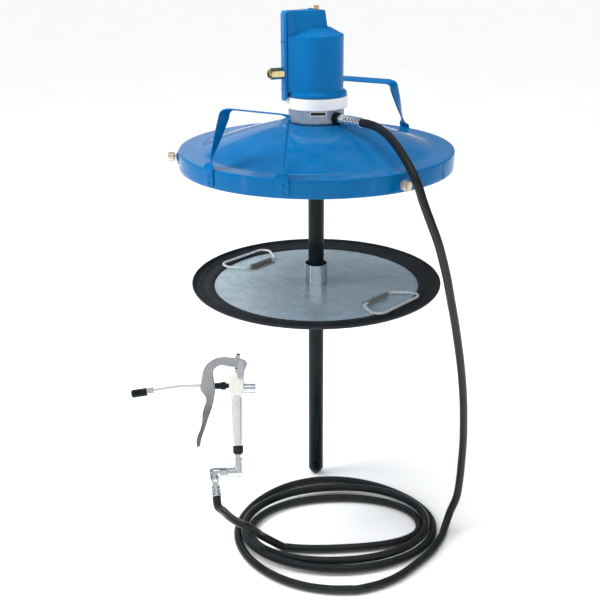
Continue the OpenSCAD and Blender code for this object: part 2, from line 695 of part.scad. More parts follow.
// A closed rod through the points of a flat loop
module rod_loop(p, r, sides) {
    n = len(p);
    pts = [for (i = [0:n - 1]) let (t = unit(p[(i + 1) % n] - p[(i + n - 1) % n]), s = [0, 0, 1], u = cross(t, s),
        k = 1 / max(0.5, unit(p[(i + 1) % n] - p[i]) * t))
        for (j = [0:sides - 1]) p[i] + r * (cos(j * 360 / sides) * u * k + sin(j * 360 / sides) * s)];
    polyhedron(pts, [for (i = [0:n - 1]) for (j = [0:sides - 1]) let (a = i * sides + j, b = i * sides + (j + 1) % sides,
        c = ((i + 1) % n) * sides + j, d = ((i + 1) % n) * sides + (j + 1) % sides) each [[a, b, c], [b, d, c]]]);
}
module bail(i) {
    color(bright) rotate([0, 0, bail_az[i]]) translate([hinge_r, 0, hinge_z])
        rotate([0, -bail_tilt, 0]) rod_loop(bail_path(), bail_r, 10);
}
module clip(i) {
    eye = bail_r + 0.35;
    tab = 16;
    color(zinc) rotate([0, 0, bail_az[i]]) translate([hinge_r, 0, hinge_z]) difference() {
        union() {
            rotate([90, 0, 0]) cylinder(r = eye + clip_t, h = clip_l - 16, center = true);
            translate([-tab, -clip_l / 2 + 8, plate_z - hinge_z]) cube([tab, clip_l - 16, clip_t]);
            translate([-eye - clip_t, -clip_l / 2 + 8, plate_z - hinge_z]) cube([2 * eye, clip_l - 16, clip_t + bail_r]);
        }
        rotate([90, 0, 0]) cylinder(r = eye, h = clip_l, center = true);
        translate([-cut - tab, -clip_l / 2, plate_z - hinge_z - 2 * bail_d]) cube([4 * tab, clip_l, 2 * bail_d]);
    }
}
module left_bail() bail(0);
module right_bail() bail(1);
module left_clip() clip(0);
module right_clip() clip(1);

// Hose ends
nut_af = 19;
nut_l = 15;
ferrule_l = 47;
hose_r = hose_d / 2;
outlet_end = outlet_tip + nut_l + ferrule_l;
module hose_end(l) {
    waist = 3;
    bore = 4;
    difference() {
        union() {
            hex(nut_af, nut_l, 1.5);
            cylinder(r = nut_af / 2 - 1.5, h = nut_l + waist);
            translate([0, 0, nut_l + waist]) lathe([[0, 0], [ferrule_d / 2 - 1, 0], [ferrule_d / 2, 1],
                [ferrule_d / 2, l - waist - 1], [ferrule_d / 2 - 1, l - waist], [0, l - waist]]);
        }
        translate([0, 0, -cut]) cylinder(r = bore, h = nut_l + l + 2 * cut);
    }
}
module pump_hose_end() {
    color(bright) facing(outlet_az, outlet_tip, outlet_z) hose_end(ferrule_l);
}

// The swivel's place and the directions of its parts; the valve leans back and a little to the left
swivel_at = [-161.9, -365, -608.6];
valve_roll = 1.6;
across_dir = [cos(valve_roll), sin(valve_roll) * sin(valve_lean), sin(valve_roll) * cos(valve_lean)];
// Direction of the hose's last length, down out of the hose elbow
leg_dir = unit([0.159, -0.76, -0.63]);
leg_tip = [asin(leg_dir[1]), atan2(-leg_dir[0], -leg_dir[2]), 0];
leg_l = 51.5;
swivel_w = 51.5;
elbow_at = swivel_at - swivel_w * across_dir;
hose_end_at = elbow_at + leg_l * leg_dir;
module on_valve() {
    translate(swivel_at) rotate([-valve_lean, 0, 0]) rotate([0, -valve_roll, 0]) children();
}
// Local +Z points back up the hose's last length, from a place on it
module on_leg(l) {
    translate(elbow_at + l * leg_dir) rotate(leg_tip) children();
}

// Hose route: down from the pump to the floor, three loops, and up to the valve
coil_c = [50, -246];
coil_tilt = 6;
coil_start = 90;
coil_stop = 1203;
// The loops each quarter turn: half width, half depth, height off the floor, and roundness
loop_table = [[240, 213, 0, 1], [240, 213, 0, 1], [230, 203, 0, 1.04], [218, 197, 0, 1], [222, 163, 0, 1],
    [215, 151, 3, 1], [214, 146, 10.5, 0.97], [209, 151, 7, 0.95], [205, 139, 12, 0.97], [202, 126, 6, 0.96],
    [199, 118, 0, 0.95], [194, 117, 0, 0.9], [190, 94, 0, 0.88], [190, 76, 0, 0.88], [188, 76, 0, 0.88]];
function rounded(v, p) = sign(v) * pow(abs(v), p);
// A place on the loops, q degrees of turn after the right-hand side, clockwise from above
function coil_at(q) = let (k = on_curve(loop_table, q / 90),
    p = turned([k[0] * rounded(cos(q), k[3]), -k[1] * rounded(sin(q), k[3])], coil_tilt))
    [coil_c[0] + p[0], coil_c[1] + p[1], foot_z + hose_r + max(k[2], 0)];
coil_rings = 24;
coil_path = concat([for (q = [coil_start:360 / coil_rings:coil_stop]) coil_at(q)], [coil_at(coil_stop)]);
coil_last = len(coil_path) - 1;
coil_end = coil_path[coil_last];
exit_xy = turned([outlet_end, 0], outlet_az);
stub_xy = turned([outlet_end + hose_d, 0], outlet_az);
drop_route = concat([[exit_xy[0], exit_xy[1], outlet_z]], [[stub_xy[0], stub_xy[1], outlet_z], [125, -131, 67.5],
    [143, -167, 59.5], [158, -205, 47], [171.8, -241.5, 30], [185.4, -270, 8], [197, -288.3, -18], [207, -297, -47],
    [222, -302, -84.5], [237, -303, -122], [249, -300, -160], [261, -297, -204], [271, -292, -248], [282, -286, -296],
    [292, -278, -343], [302, -269, -394], [311, -258, -446], [319, -246, -502], [325, -233, -558], [330, -219, -618],
    [332, -207, -677], [331, -204, -733], [325, -213, -772], [310, -227, -803], [296.5, -252, -825],
    [283.5, -283, -832.5], [256, -331, -833.75], [216, -377, -833.75], [177, -415, -833.75], [135, -441, -833.75],
    coil_path[0] - hose_d * unit(coil_path[1] - coil_path[0]), coil_path[0]]);
rise_route = [coil_end, coil_end + hose_d * unit(coil_end - coil_path[coil_last - 1]),
    [-115.7, -325, -801.7], [-131.2, -341, -776.2], [-146, -349, -758.4], [-160.8, -357, -745.2],
    [-173.5, -368, -727.8], [-184.4, -382, -706.7], [-193.4, -398, -682.5], [-199.5, -413, -665],
    hose_end_at + hose_d * leg_dir, hose_end_at];
coil_gap = min([for (i = [0:coil_last - 12]) for (j = [i + 12:coil_last])
    norm(coil_path[i] - coil_path[j])]) - hose_d;
echo(least_gap_in_coil = coil_gap);
function run_length(p) = [for (i = [1:len(p) - 1]) norm(p[i] - p[i - 1])] * [for (i = [1:len(p) - 1]) 1];
echo(hose_length = run_length(drop_route) + run_length(coil_path) + run_length(rise_route));
module hose_drop() {
    color(black) tube_along(drop_route, hose_r, 8, [0, 0, 1]);
}
module hose_coil() {
    color(black) tube_along(coil_path, hose_r, 6, [0, 0, 1]);
}
module hose_rise() {
    color(black) tube_along(rise_route, hose_r, 8, [0, 0, 1]);
}

// Control valve: the swivel stands on the hose's end, the handle on the swivel
riser_l = 21.4;
elbow_r = 10.3;
hose_elbow_r = 10.9;
hose_elbow_out = elbow_r + 3;
ball_over = 0.5;
short_nut = 12.4;
stub_r = 5;
module valve_hose_end() {
    l = riser_l;
    color(bright) on_leg(leg_l) difference() {
        union() {
            lathe([[0, 0], [ferrule_d / 2 - 1, 0], [ferrule_d / 2, 1], [ferrule_d / 2, l - 2], [ferrule_d / 2 - 1, l - 1],
                [0, l - 1]]);
            cylinder(r = ferrule_d / 2 - 3, h = l + cut);
            translate([0, 0, l]) hex(nut_af, short_nut, 1.5);
        }
        translate([0, 0, -cut]) cylinder(r = 4, h = l + short_nut + 2 * cut);
    }
}
elbow_down = leg_l - riser_l - short_nut;
// Forged elbow from the hose's last length to the swivel
module hose_elbow() {
    out = hose_elbow_out;
    color(bright) difference() {
        union() {
            on_leg(elbow_down) cylinder(r = hose_elbow_r, h = elbow_down);
            translate(elbow_at) sphere(r = hose_elbow_r + ball_over);
            on_valve() translate([-swivel_w, 0, 0]) rotate([0, 90, 0]) cylinder(r = hose_elbow_r, h = out);
        }
        on_leg(elbow_down + cut) cylinder(r = stub_r, h = elbow_down + cut);
        translate(elbow_at) sphere(r = stub_r + ball_over);
        on_valve() translate([-swivel_w, 0, 0]) rotate([0, 90, 0]) cylinder(r = stub_r, h = out + cut);
    }
}
// Hexagon stub that the swivel nut turns on
stub_x = -swivel_w + hose_elbow_out;
nut_len = 11;
stub_len = -stub_x - elbow_r - 1 - nut_len;
module swivel_stub() {
    color(bright) on_valve() translate([stub_x, 0, 0]) rotate([0, 90, 0]) difference() {
        union() {
            hex(18, stub_len - gap_c, 1.5);
            cylinder(r = stub_r + 2, h = stub_len + nut_len);
        }
        translate([0, 0, -cut]) cylinder(r = stub_r - 1.5, h = stub_len + nut_len + 2 * cut);
    }
}
module swivel_nut() {
    color(zinc) on_valve() translate([stub_x + stub_len, 0, 0]) rotate([0, 90, 0]) difference() {
        lathe([[0, 0], [9.3, 0], [9.8, 1], [9.8, 5], [10.6, 6], [10.6, nut_len - 1], [10, nut_len], [0, nut_len]]);
        translate([0, 0, -cut]) cylinder(r = stub_r + 2 + run_c, h = nut_len + 2 * cut);
    }
}
elbow_up = 29;
module valve_elbow() {
    out = elbow_r + 1;
    color(bright) on_valve() difference() {
        union() {
            cylinder(r = elbow_r, h = elbow_up);
            sphere(r = elbow_r);
            rotate([0, -90, 0]) cylinder(r = elbow_r, h = out);
        }
        cylinder(r = stub_r, h = elbow_up + cut);
        rotate([0, -90, 0]) cylinder(r = stub_r, h = out + cut);
    }
}
// Parts that turn on the upper end of the elbow, with heights along the valve's axis
upper_nut = 8.8;
ring_h = 18;
ring_low = elbow_up + gap_c + upper_nut;
grip_low = ring_low + ring_h;
head_low = grip_low + grip_l;
module elbow_nut() {
    color(bright) on_valve() translate([0, 0, elbow_up + gap_c]) difference() {
        hex(18, upper_nut, 1.5);
        translate([0, 0, -cut]) cylinder(r = stub_r, h = upper_nut + 2 * cut);
    }
}
module handle_ring() {
    color(black) on_valve() translate([0, 0, ring_low]) difference() {
        lathe([[0, 0], [8, 0], [10.9, 3], [10.9, ring_h], [0, ring_h]]);
        translate([0, 0, -cut]) cylinder(r = stub_r, h = ring_h + 2 * cut);
    }
}
module valve_handle() {
    color(bright) on_valve() translate([0, 0, grip_low]) difference() {
        cylinder(r1 = grip_foot_d / 2, r2 = grip_d / 2, h = grip_l);
        translate([0, 0, -cut]) cylinder(r = stub_r, h = grip_l + 2 * cut);
    }
}
// Valve head, with the pin hole down from its top
outlet_rise = 21.8;
pin_x = -0.6;
pin_r = 3;
head_top = head_low + head_h;
link_x = 8.8;
link_rise = 41.4;
cap_r = 10.7;
cap_l = 25;
cap_drop = 6.8;
head_r = 12;
link_pin_r = 2.5;
module valve_head() {
    w = head_w / 2;
    ear_r = 6.2;
    top_r = 3;
    color([0.86, 0.86, 0.82]) on_valve() translate([0, 0, head_low]) difference() {
        translate([0, head_t / 2, 0]) rotate([90, 0, 0]) linear_extrude(head_t) polygon(concat(
            arc([w - head_r, head_r], head_r, -90, 0, 5), [[w, link_rise - 5]],
            arc([link_x, link_rise], ear_r, 10, 100, 5),
            [[pin_x + 5.5, head_h - 4], [pin_x + 4.5, head_h], [pin_x - 4.5, head_h]],
            arc([top_r - w, head_h - 6], top_r, 90, 180, 3), arc([head_r - w, head_r], head_r, 180, 270, 5)));
        translate([0, 0, -cut]) cylinder(r = stub_r, h = outlet_rise + cut);
        translate([-head_w, 0, outlet_rise]) rotate([0, 90, 0]) cylinder(r = stub_r - 1, h = head_w);
        translate([pin_x, 0, outlet_rise]) cylinder(r = pin_r + run_c, h = head_h);
        translate([link_x, -head_t, link_rise]) rotate([-90, 0, 0]) cylinder(r = link_pin_r + run_c, h = 2 * head_t);
        translate([w - 5, 0, outlet_rise - cap_drop]) rotate([0, 90, 0]) cylinder(r = cap_r - 4, h = head_w);
    }
}
module head_cap() {
    color(bright) on_valve() translate([head_w / 2, 0, head_low + outlet_rise - cap_drop]) rotate([0, 90, 0]) {
        translate([0, 0, -5]) cylinder(r = cap_r - 4, h = 5 + cut);
        lathe([[0, 0], [cap_r, 0], [cap_r, cap_l - 1.5], [cap_r - 1.5, cap_l], [0, cap_l]]);
    }
}
pin_stand = 6.8;
pin_foot = 8;
module valve_pin() {
    pad_h = 3;
    l = head_h + pin_stand - outlet_rise - pin_foot;
    color(bright) on_valve() translate([pin_x, 0, head_low + outlet_rise + pin_foot]) {
        cylinder(r = pin_r, h = l);
        translate([0, 0, l - pad_h]) cylinder(r = pin_r + 1.2, h = pad_h);
    }
}

// Trigger: link plates rock on the head, and the lever turns on the top of the links
link_top_x = 11.2;
link_low_z = head_low + link_rise;
link_top_z = link_low_z + 28;
link_t = 2.5;
link_in = head_t / 2 + gap_c;
link_eye = 6.4;
link_ends = [[link_x, link_low_z], [link_top_x, link_top_z]];
module link_plates() {
    color(zinc) on_valve() for (y = [link_in, -link_in - link_t]) translate([0, y, 0])
        difference() {
            hull() for (p = link_ends) translate([p[0], 0, p[1]])
                rotate([-90, 0, 0]) cylinder(r = link_eye, h = link_t, $fn = 32);
            for (p = link_ends) translate([p[0], -cut, p[1]])
                rotate([-90, 0, 0]) cylinder(r = link_pin_r, h = link_t + 2 * cut);
        }
}
pin_head = 1.2;
module link_pins() {
    l = 2 * (link_in + link_t + pin_head);
    color(bright) on_valve() for (p = link_ends)
        translate([p[0], -l / 2, p[1]]) rotate([-90, 0, 0]) {
            cylinder(r = link_pin_r, h = l);
            for (z = [0, l - pin_head]) translate([0, 0, z]) cylinder(r = link_pin_r + 1.5, h = pin_head);
        }
}
// Lever outlines as shares of its reach and drop, measured from the top pin
lever_reach = 96;
lever_drop = 176;
lever_back_shares = [[0.072, 0.084], [0.133, 0.02], [0.106, -0.02], [0.032, -0.042], [-0.004, -0.047],
    [-0.167, -0.062], [-0.335, -0.074], [-0.436, -0.075], [-0.541, -0.065], [-0.645, -0.039], [-0.734, -0.004],
    [-0.809, 0.047], [-0.848, 0.102], [-0.874, 0.19], [-0.905, 0.27], [-0.899, 0.318], [-0.835, 0.362],
    [-0.786, 0.406], [-0.778, 0.447], [-0.824, 0.509], [-0.864, 0.573], [-0.873, 0.644], [-0.883, 0.707],
    [-0.921, 0.778], [-0.982, 0.848], [-1.011, 0.912], [-1.003, 0.983]];
lever_front_shares = [[0.05, 0.082], [-0.089, 0.061], [-0.236, 0.044], [-0.383, 0.027], [-0.47, 0.024],
    [-0.544, 0.034], [-0.617, 0.066], [-0.649, 0.105], [-0.636, 0.178], [-0.617, 0.226], [-0.604, 0.289],
    [-0.615, 0.361], [-0.646, 0.449], [-0.694, 0.543], [-0.755, 0.629], [-0.802, 0.7], [-0.849, 0.779],
    [-0.895, 0.842], [-0.941, 0.913], [-0.959, 0.983]];
function lever_points(t) = [for (s = t) [s[0] * lever_reach, -s[1] * lever_drop]];
lever_back = lever_points(lever_back_shares);
lever_front = lever_points(lever_front_shares);
lever_w = lever_gap + 2 * lever_wall;
slot_w = 14;
slot_low_share = 0.39;
slot_high_share = 0.06;
set_r = 3;
screw_lean = 9;
module trigger_lever() {
    color(zinc) on_valve() difference() {
        translate([link_top_x, 0, link_top_z]) difference() {
            translate([0, lever_w / 2, 0]) rotate([90, 0, 0]) linear_extrude(lever_w)
                polygon(concat(lever_back, reversed(lever_front)));
            translate([0, lever_gap / 2, 0]) rotate([90, 0, 0]) linear_extrude(lever_gap)
                polygon(concat(beside(lever_back, lever_wall), reversed(beside(lever_front, 3 * lever_wall))));
            rotate([-90, 0, 0]) translate([0, 0, -lever_w]) cylinder(r = link_pin_r + run_c, h = 2 * lever_w);
            translate([-lever_reach * 1.2, -slot_w / 2, -lever_drop * slot_low_share])
                cube([lever_reach * 0.6, slot_w, lever_drop * (slot_low_share - slot_high_share)]);
        }
        on_screw(0) cylinder(r = set_r, h = screw_l);
    }
}
// Set screw with its lock nut, through the lever's web and square to it
screw_l = 35;
screw_nut_at = 24.5;
screw_nut_t = 6.6;
module on_screw(l) {
    translate([pin_x, 0, head_top + pin_stand]) rotate([0, screw_lean, 0]) translate([0, 0, l]) children();
}
module set_screw() {
    color(black) on_valve() {
        on_screw(gap_c) lathe(concat([[0, 0]], [for (p = arc([0, set_r], set_r, -75, 0, 5)) p],
            [[set_r, screw_l - gap_c], [0, screw_l - gap_c]]));
        on_screw(screw_nut_at) hex(12, screw_nut_t, 1);
        on_screw(screw_l - 3) cylinder(r = set_r + 0.8, h = 3);
    }
}

// Outlet: nut, bent steel tube, collar and coupler, along -X of the valve
nozzle_z = head_low + outlet_rise;
nozzle_r = nozzle_d / 2;
nozzle_bore = nozzle_r - 2.2;
nozzle_sink = 8;
bend_at = 103;
bend_rad = 60;
tail_l = 52.5;
nut_out = 31;
module outlet_nut() {
    color(black) on_valve() translate([-head_w / 2, 0, nozzle_z]) rotate([0, -90, 0]) difference() {
        lathe([[0, 0], [5.3, 0], [5.3, 7], [8.4, 7.8], [8.4, 18], [7.6, 18.8], [6.7, 19], [6.7, nut_out - 1],
            [6, nut_out], [0, nut_out]]);
        translate([0, 0, -cut]) cylinder(r = nozzle_bore, h = nut_out);
        translate([0, 0, nozzle_sink]) cylinder(r = nozzle_r, h = nut_out);
    }
}
// Places its children after the bend, l further along
module after_bend(l) {
    on_valve() translate([-head_w / 2 - bend_at, 0, nozzle_z - bend_rad]) rotate([0, -nozzle_bend, 0])
        translate([-l, 0, bend_rad]) rotate([0, -90, 0]) children();
}
// The bend is a short mitre with a ball in its corner, a touch thicker than the tube
bend_ball = 0.1;
bend_slack = bend_rad * tan(nozzle_bend / 2);
module outlet_tube() {
    color(bright) difference() {
        union() {
            on_valve() translate([-head_w / 2 - nozzle_sink, 0, nozzle_z]) rotate([0, -90, 0])
                cylinder(r = nozzle_r, h = bend_at + bend_slack - nozzle_sink);
            after_bend(-bend_slack) sphere(r = nozzle_r + bend_ball);
            after_bend(-bend_slack) cylinder(r = nozzle_r, h = tail_l + bend_slack);
        }
        on_valve() translate([-head_w / 2, 0, nozzle_z]) rotate([0, -90, 0])
            cylinder(r = nozzle_bore, h = bend_at + bend_slack);
        after_bend(-bend_slack) sphere(r = nozzle_bore + bend_ball);
        after_bend(-bend_slack) cylinder(r = nozzle_bore, h = tail_l + bend_slack + cut);
    }
}
collar_len = 14;
module coupler_collar() {
    color(bright) after_bend(tail_l - 2) difference() {
        hex(14, collar_len, 1);
        translate([0, 0, -cut]) cylinder(r = nozzle_r, h = 2 + cut);
        cylinder(r = nozzle_bore, h = collar_len + cut);
    }
}
mouth_r = 3.4;
mouth_l = 10;
module coupler_body() {
    color(black) after_bend(tail_l - 2 + collar_len) difference() {
        lathe([[0, 0], [coupler_d / 2, 0], [coupler_d / 2, coupler_l - 2], [coupler_d / 2 - 1.5, coupler_l], [0, coupler_l]]);
        translate([0, 0, -cut]) cylinder(r = nozzle_bore, h = coupler_l);
        translate([0, 0, coupler_l - mouth_l]) cylinder(r = mouth_r, h = mouth_l + cut);
    }
}

drum_cover();
cover_skirt();
front_handle();
rear_handle();
handle_rivets();
screw_bosses();
tie_screw_front();
tie_screw_left();
tie_screw_rear();
cover_locknut();
pump_base();
outlet_adapter();
rod_packing();
exhaust_band();
exhaust_lip();
motor_housing();
manifold_gasket();
manifold_cover();
manifold_screws();
air_inlet();
top_plug();
valve_spool();
air_piston();
piston_seal();
pump_rod();
pump_plunger();
pump_tube();
foot_valve();
follower_plate();
follower_wiper();
guide_sleeve();
sleeve_seal();
left_bail();
right_bail();
left_clip();
right_clip();
pump_hose_end();
hose_drop();
hose_coil();
hose_rise();
valve_hose_end();
hose_elbow();
swivel_stub();
swivel_nut();
valve_elbow();
elbow_nut();
handle_ring();
valve_handle();
valve_head();
head_cap();
valve_pin();
link_plates();
link_pins();
trigger_lever();
set_screw();
outlet_nut();
outlet_tube();
coupler_body();
coupler_collar();
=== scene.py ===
# Air-operated grease pump on a drum cover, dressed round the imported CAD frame. Lengths are in mm inside the helpers.
import json
import math

import bmesh
import bpy
from mathutils import Matrix, Vector

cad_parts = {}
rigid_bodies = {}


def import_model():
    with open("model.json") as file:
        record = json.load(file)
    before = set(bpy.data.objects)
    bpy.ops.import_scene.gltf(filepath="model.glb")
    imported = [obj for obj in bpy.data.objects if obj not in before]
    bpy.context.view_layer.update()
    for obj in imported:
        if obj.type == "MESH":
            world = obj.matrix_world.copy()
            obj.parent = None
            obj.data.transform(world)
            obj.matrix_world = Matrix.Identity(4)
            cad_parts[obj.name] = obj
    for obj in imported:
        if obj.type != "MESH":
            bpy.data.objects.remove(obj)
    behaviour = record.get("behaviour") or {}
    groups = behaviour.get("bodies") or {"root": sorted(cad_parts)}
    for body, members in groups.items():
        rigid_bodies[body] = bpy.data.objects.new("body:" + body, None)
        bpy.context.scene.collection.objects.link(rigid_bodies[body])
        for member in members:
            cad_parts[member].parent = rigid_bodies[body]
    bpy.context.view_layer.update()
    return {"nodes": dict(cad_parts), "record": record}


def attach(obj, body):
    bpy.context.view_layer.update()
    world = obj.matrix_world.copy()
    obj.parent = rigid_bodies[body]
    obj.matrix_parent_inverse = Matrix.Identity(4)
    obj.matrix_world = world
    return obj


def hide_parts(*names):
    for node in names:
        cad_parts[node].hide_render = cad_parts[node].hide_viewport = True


for thing in list(bpy.data.objects):
    bpy.data.objects.remove(thing)
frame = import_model()
scene = bpy.context.scene
record = frame["record"]
slot_of = {p["node"]: p["material_slot"] for p in record["subparts"]}
body_of = {n: b for b, ns in record["behaviour"]["bodies"].items() for n in ns}
MM = 0.001

# ---------------------------------------------------------------- sizes in mm and angles in degrees that pieces share
COVER_R = 303.5
HANDLE_AZ, HANDLE_SPAN = -118.6, 32.5
SEAM_AZ, SEAM_W = -29.5, 16
OUTLET_AZ, OUTLET_Z = -45, 70
INLET_AZ, INLET_R, INLET_Z = -157, 77, 163
FOOT_Z = -842.5
HOSE_R = 8.75
HOSE_LOW = FOOT_Z + HOSE_R
HOSE_LEAD = 17.5
COIL_X, COIL_Y, COIL_TURN = 50, -246, 6
COIL_START, COIL_STEP, COIL_STEPS, COIL_END = 90, 5, 223, 1203
SHEET_TOP, SHEET_LOW = -320.5, -323.0


def cosd(a):
    return math.cos(math.radians(a))


def sind(a):
    return math.sin(math.radians(a))


def on_curve(p, i, t):
    """A place on the smooth curve through the points p, a share t of the way from point i to the next."""
    last = len(p) - 1
    a, b, c, d = p[max(i - 1, 0)], p[i], p[i + 1], p[min(i + 2, last)]
    return (2 * b + (c - a) * t + (2 * a - 5 * b + 4 * c - d) * t * t + (3 * b - a - 3 * c + d) * t ** 3) / 2


def catmull(p, steps):
    """A smooth run of points through p, with that many steps between two of them."""
    return [on_curve(p, i, k / steps) for i in range(len(p) - 1) for k in range(steps)] + [p[-1]]


# ---------------------------------------------------------------- camera
fwd = Vector((-0.01799, 0.92678, -0.37518)).normalized()
yaw, roll = -0.0194137, -0.0062010
right = Vector((math.cos(yaw), -math.sin(yaw), 0))
up = right.cross(fwd)
cam_x = math.cos(roll) * right + math.sin(roll) * up
cam_y = -math.sin(roll) * right + math.cos(roll) * up
camera = bpy.data.cameras.new("camera")
camera.sensor_fit = "HORIZONTAL"
camera.sensor_width = 36
camera.lens = 53.5056
camera.clip_start = 0.05
camera.clip_end = 200
cam = bpy.data.objects.new("camera", camera)
cam.matrix_world = Matrix.Translation((0, -1.95899, 0.42603)) @ Matrix((cam_x, cam_y, -fwd)).transposed().to_4x4()
scene.collection.objects.link(cam)
scene.camera = cam
scene.view_settings.view_transform = "Standard"

# ---------------------------------------------------------------- frames of the valve
SWIVEL = Vector((-161.9, -365, -608.6))
LEAN, ROLL = math.radians(26), math.radians(1.6)
ON_VALVE = Matrix.Translation(SWIVEL) @ Matrix.Rotation(-LEAN, 4, "X") @ Matrix.Rotation(-ROLL, 4, "Y")
ACROSS = (ON_VALVE.to_3x3() @ Vector((1, 0, 0))).normalized()
LEG = Vector((0.159, -0.76, -0.63)).normalized()
ELBOW_ARM = 51.5
ELBOW = SWIVEL - ELBOW_ARM * ACROSS
HOSE_END = ELBOW + ELBOW_ARM * LEG
GRIP_LOW, GRIP_H = 56.1, 103
HEAD_LOW = GRIP_LOW + GRIP_H


def upright(at, z):
    """A frame at a point whose own Z runs along z."""
    return Matrix.Translation(at) @ Vector(z).to_track_quat("Z", "Y").to_matrix().to_4x4()


def facing(az, r, z):
    """A frame whose Z points out level at a compass angle and whose X points down."""
    turned = Matrix.Rotation(math.radians(az), 4, "Z")
    return turned @ Matrix.Translation((r, 0, z)) @ Matrix.Rotation(math.pi / 2, 4, "Y")


# ---------------------------------------------------------------- hose: one cord from the pump to the valve
exit_at, stub_at = (Vector((r * cosd(OUTLET_AZ), r * sind(OUTLET_AZ), OUTLET_Z)) for r in (134, 134 + HOSE_LEAD))
drop = [exit_at, stub_at] + [Vector(p) for p in (
    (125, -131, 67.5), (143, -167, 59.5), (158, -205, 47), (171.8, -241.5, 30), (185.4, -270, 8), (197, -288.3, -18),
    (207, -297, -47), (222, -302, -84.5), (237, -303, -122), (249, -300, -160), (261, -297, -204), (271, -292, -248),
    (282, -286, -296), (292, -278, -343), (302, -269, -394), (311, -258, -446), (319, -246, -502), (325, -233, -558),
    (330, -219, -618), (332, -207, -677), (331, -204, -733), (325, -213, -772), (310, -227, -803), (296.5, -252, -825),
    (283.5, -283, -832.5), (256, -331, -833.75), (216, -377, -833.75), (177, -415, -833.75), (135, -441, -833.75))]
# The loops at each quarter turn: half width, half depth, height over the floor, and roundness
LOOPS = [Vector(k) for k in (
    (240, 213, 0, 1), (240, 213, 0, 1), (230, 203, 0, 1.04), (218, 197, 0, 1), (222, 163, 0, 1),
    (215, 151, 3, 1), (214, 146, 10.5, 0.97), (209, 151, 7, 0.95), (205, 139, 12, 0.97), (202, 126, 6, 0.96),
    (199, 118, 0, 0.95), (194, 117, 0, 0.9), (190, 94, 0, 0.88), (190, 76, 0, 0.88), (188, 76, 0, 0.88))]


def coil_at(q):
    """A place on the loops, q degrees of turn after the right-hand side."""
    i = min(int(q / 90), len(LOOPS) - 2)
    k = on_curve(LOOPS, i, q / 90 - i)
    x = k[0] * math.copysign(abs(cosd(q)) ** k[3], cosd(q))
    y = -k[1] * math.copysign(abs(sind(q)) ** k[3], sind(q))
    x, y = x * cosd(COIL_TURN) - y * sind(COIL_TURN), x * sind(COIL_TURN) + y * cosd(COIL_TURN)
    return Vector((COIL_X + x, COIL_Y + y, HOSE_LOW + max(k[2], 0)))


coil = [coil_at(COIL_START + COIL_STEP * i) for i in range(COIL_STEPS)] + [coil_at(COIL_END)]
rise = [coil[-1], coil[-1] + HOSE_LEAD * (coil[-1] - coil_at(COIL_END - 3)).normalized()] + [Vector(p) for p in (
    (-115.7, -325, -801.7), (-131.2, -341, -776.2), (-146, -349, -758.4), (-160.8, -357, -745.2),
    (-173.5, -368, -727.8), (-184.4, -382, -706.7), (-193.4, -398, -682.5), (-199.5, -413, -665))]
rise += [HOSE_END + HOSE_LEAD * LEG, HOSE_END]
lead_in = coil[0] - HOSE_LEAD * (coil[1] - coil[0]).normalized()
route = catmull(drop + [lead_in, coil[0]], 4)[:-1] + coil[:-1] + catmull(rise, 4)
run = [route[0]]
SHORTEST_STEP = 1.5
for p in route[1:]:
    if (p - run[-1]).length > SHORTEST_STEP:
        run.append(p)
run[-1] = HOSE_END
line = bpy.data.curves.new("grease_hose", "CURVE")
line.dimensions = "3D"
line.bevel_depth = 1.0
line.bevel_resolution = 7
line.use_fill_caps = True
spline = line.splines.new("POLY")
spline.points.add(len(run) - 1)
for point, at in zip(spline.points, run):
    point.co = (at[0] * MM, at[1] * MM, max(at[2], HOSE_LOW) * MM, 1)
    point.radius = HOSE_R * MM
spline.use_smooth = True
hose = bpy.data.objects.new("grease_hose", line)
scene.collection.objects.link(hose)
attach(hose, "pump")
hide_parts("hose_drop", "hose_coil", "hose_rise")


